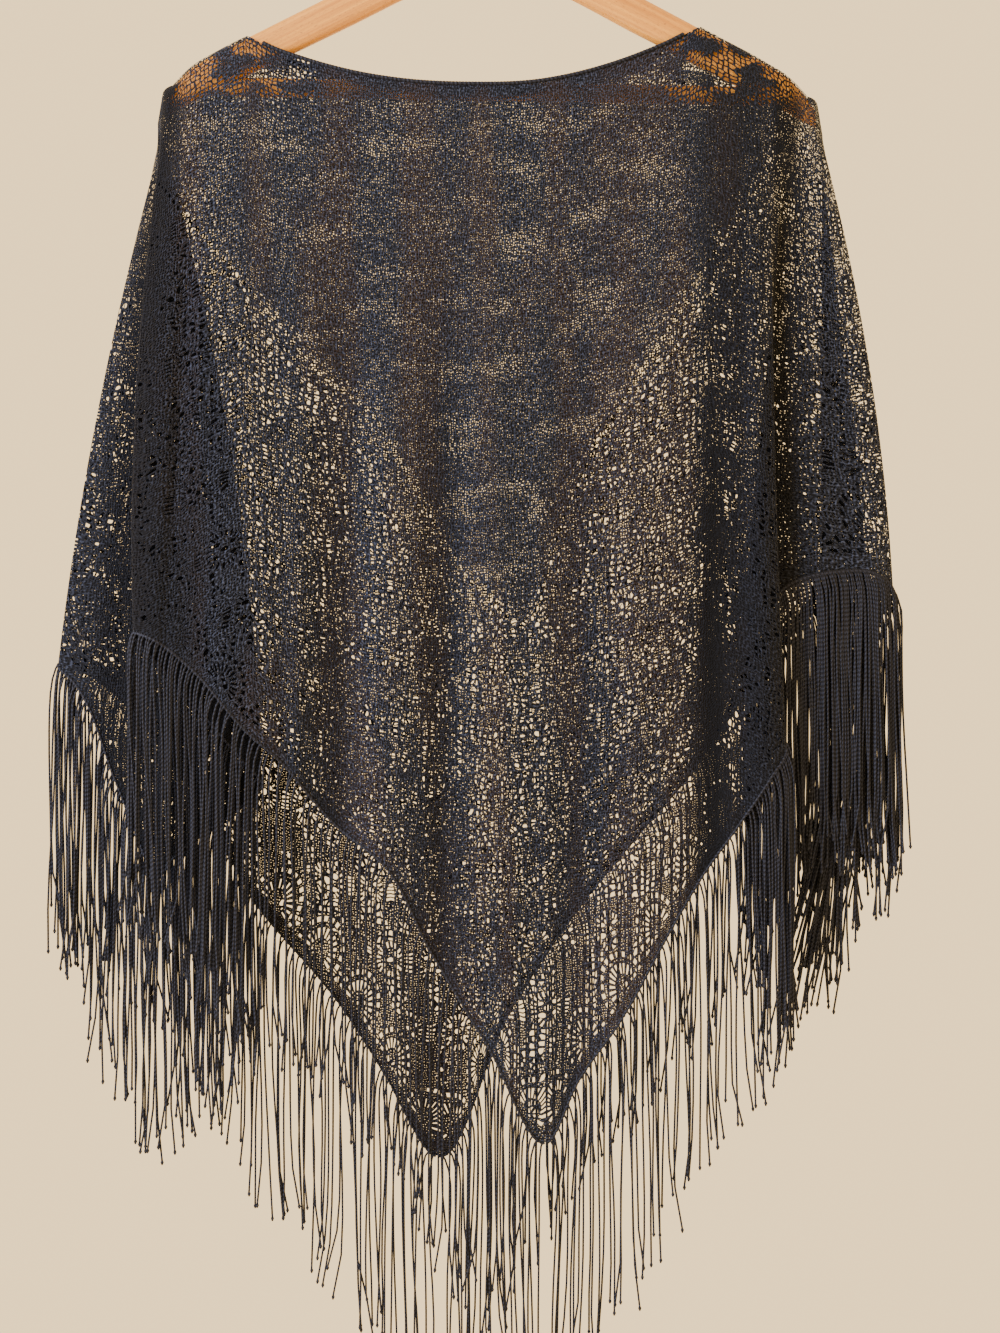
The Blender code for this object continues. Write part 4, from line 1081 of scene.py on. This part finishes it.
def camera_in_front():
    """The camera straight in front, framed as in the photo."""
    view = bpy.data.cameras.new("camera")
    view.lens = SENSOR * VIEW_DISTANCE / VIEW_HEIGHT
    camera = bpy.data.objects.new("camera", view)
    bpy.context.scene.collection.objects.link(camera)
    x, y, z = VIEW_MIDDLE
    camera.location = (x, y - VIEW_DISTANCE, z)
    camera.rotation_euler = (math.pi / 2, 0, 0)
    bpy.context.scene.camera = camera


def hanger_pieces():
    """The hanger's pieces, with the node that each stands for and its slot."""
    beech = lacquered_beech("lacquered_beech")
    wire = plated_wire("plated_steel_wire")
    return [
        (hanger_arms(beech), "hanger_arms", "pale_beech"),
        (hanger_bar(beech), "hanger_bar", "pale_beech"),
        (wire_hook(wire), "hanger_hook", "bright_steel"),
    ]


def shawl_pieces():
    """The shawl's pieces, with the node that each stands for and its slot. The panels come first."""
    lace = knitted_lace("knitted_black_lace")
    cord = twisted_cord("twisted_black_cord")
    points, marks, columns = cloth_points()
    last = points.shape[1] - 1
    corner = marks["right_corner", 1.0]
    front_point = marks["front_point", -1.0]
    back_point = marks["back_point", 1.0]
    pieces = []
    for side, part, point, folds, sign in (
        ("front", slice(0, corner + 1), front_point, FRONT_FOLDS, 1.0),
        ("back", slice(corner, None), back_point - corner, BACK_FOLDS, -1.0),
    ):
        cloth = points[:, part]
        held = {key: values[part] for key, values in columns.items()}
        # The soft folds' troughs add painted shade to the panel.
        troughs = sign * fold_depth(folds, cloth[..., 0], cloth[..., 2])
        panel = lace_panel(f"{side}_lace", cloth, held, point, side == "back", troughs, lace)
        pieces.append((panel, f"{side}_panel", "black_lace"))
    for side, part in (("front", slice(0, corner + 1)), ("back", slice(corner, None))):
        edging = neck_edge(f"neck_edging_{side}", points[:, part], cord)
        pieces.append((edging, f"neck_edge_{side}", "black_lace"))
    chance = np.random.default_rng(FRINGE_SEED)
    for side, start, end, away, closer in (
        # side, from, to, way that it leaves the hem, how much closer the strands are in bunched cloth
        ("front_left", 0, front_point, -1, 0.6),
        ("front_right", front_point, corner, 1, 2.1),
        ("back_right", corner, back_point, 1, 2.2),
        ("back_left", back_point, last, -1, 0.6),
    ):
        hem = points[-1, start : end + 1]
        crowd = columns["bunched"][start : end + 1] * closer
        strands = fringe(f"strands_{side}", hem, crowd, away, cord, chance)
        pieces.append((strands, f"fringe_{side}", "black_fringe_yarn"))
    return pieces


def main():
    """Builds the pieces, hangs each on the root, hides the node that it stands for, and sets them before
    the camera.
    """
    arms, *rest_of_hanger = hanger_pieces()
    front, back, *trim = shawl_pieces()
    for piece, node, slot in (arms, *rest_of_hanger, front, back, *trim):
        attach(piece, "root")
        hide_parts(node)
    # Each panel is half of a square of 0.90 m, cut along a diagonal: a triangle.
    pale_floor()
    studio()
    camera_in_front()


main()
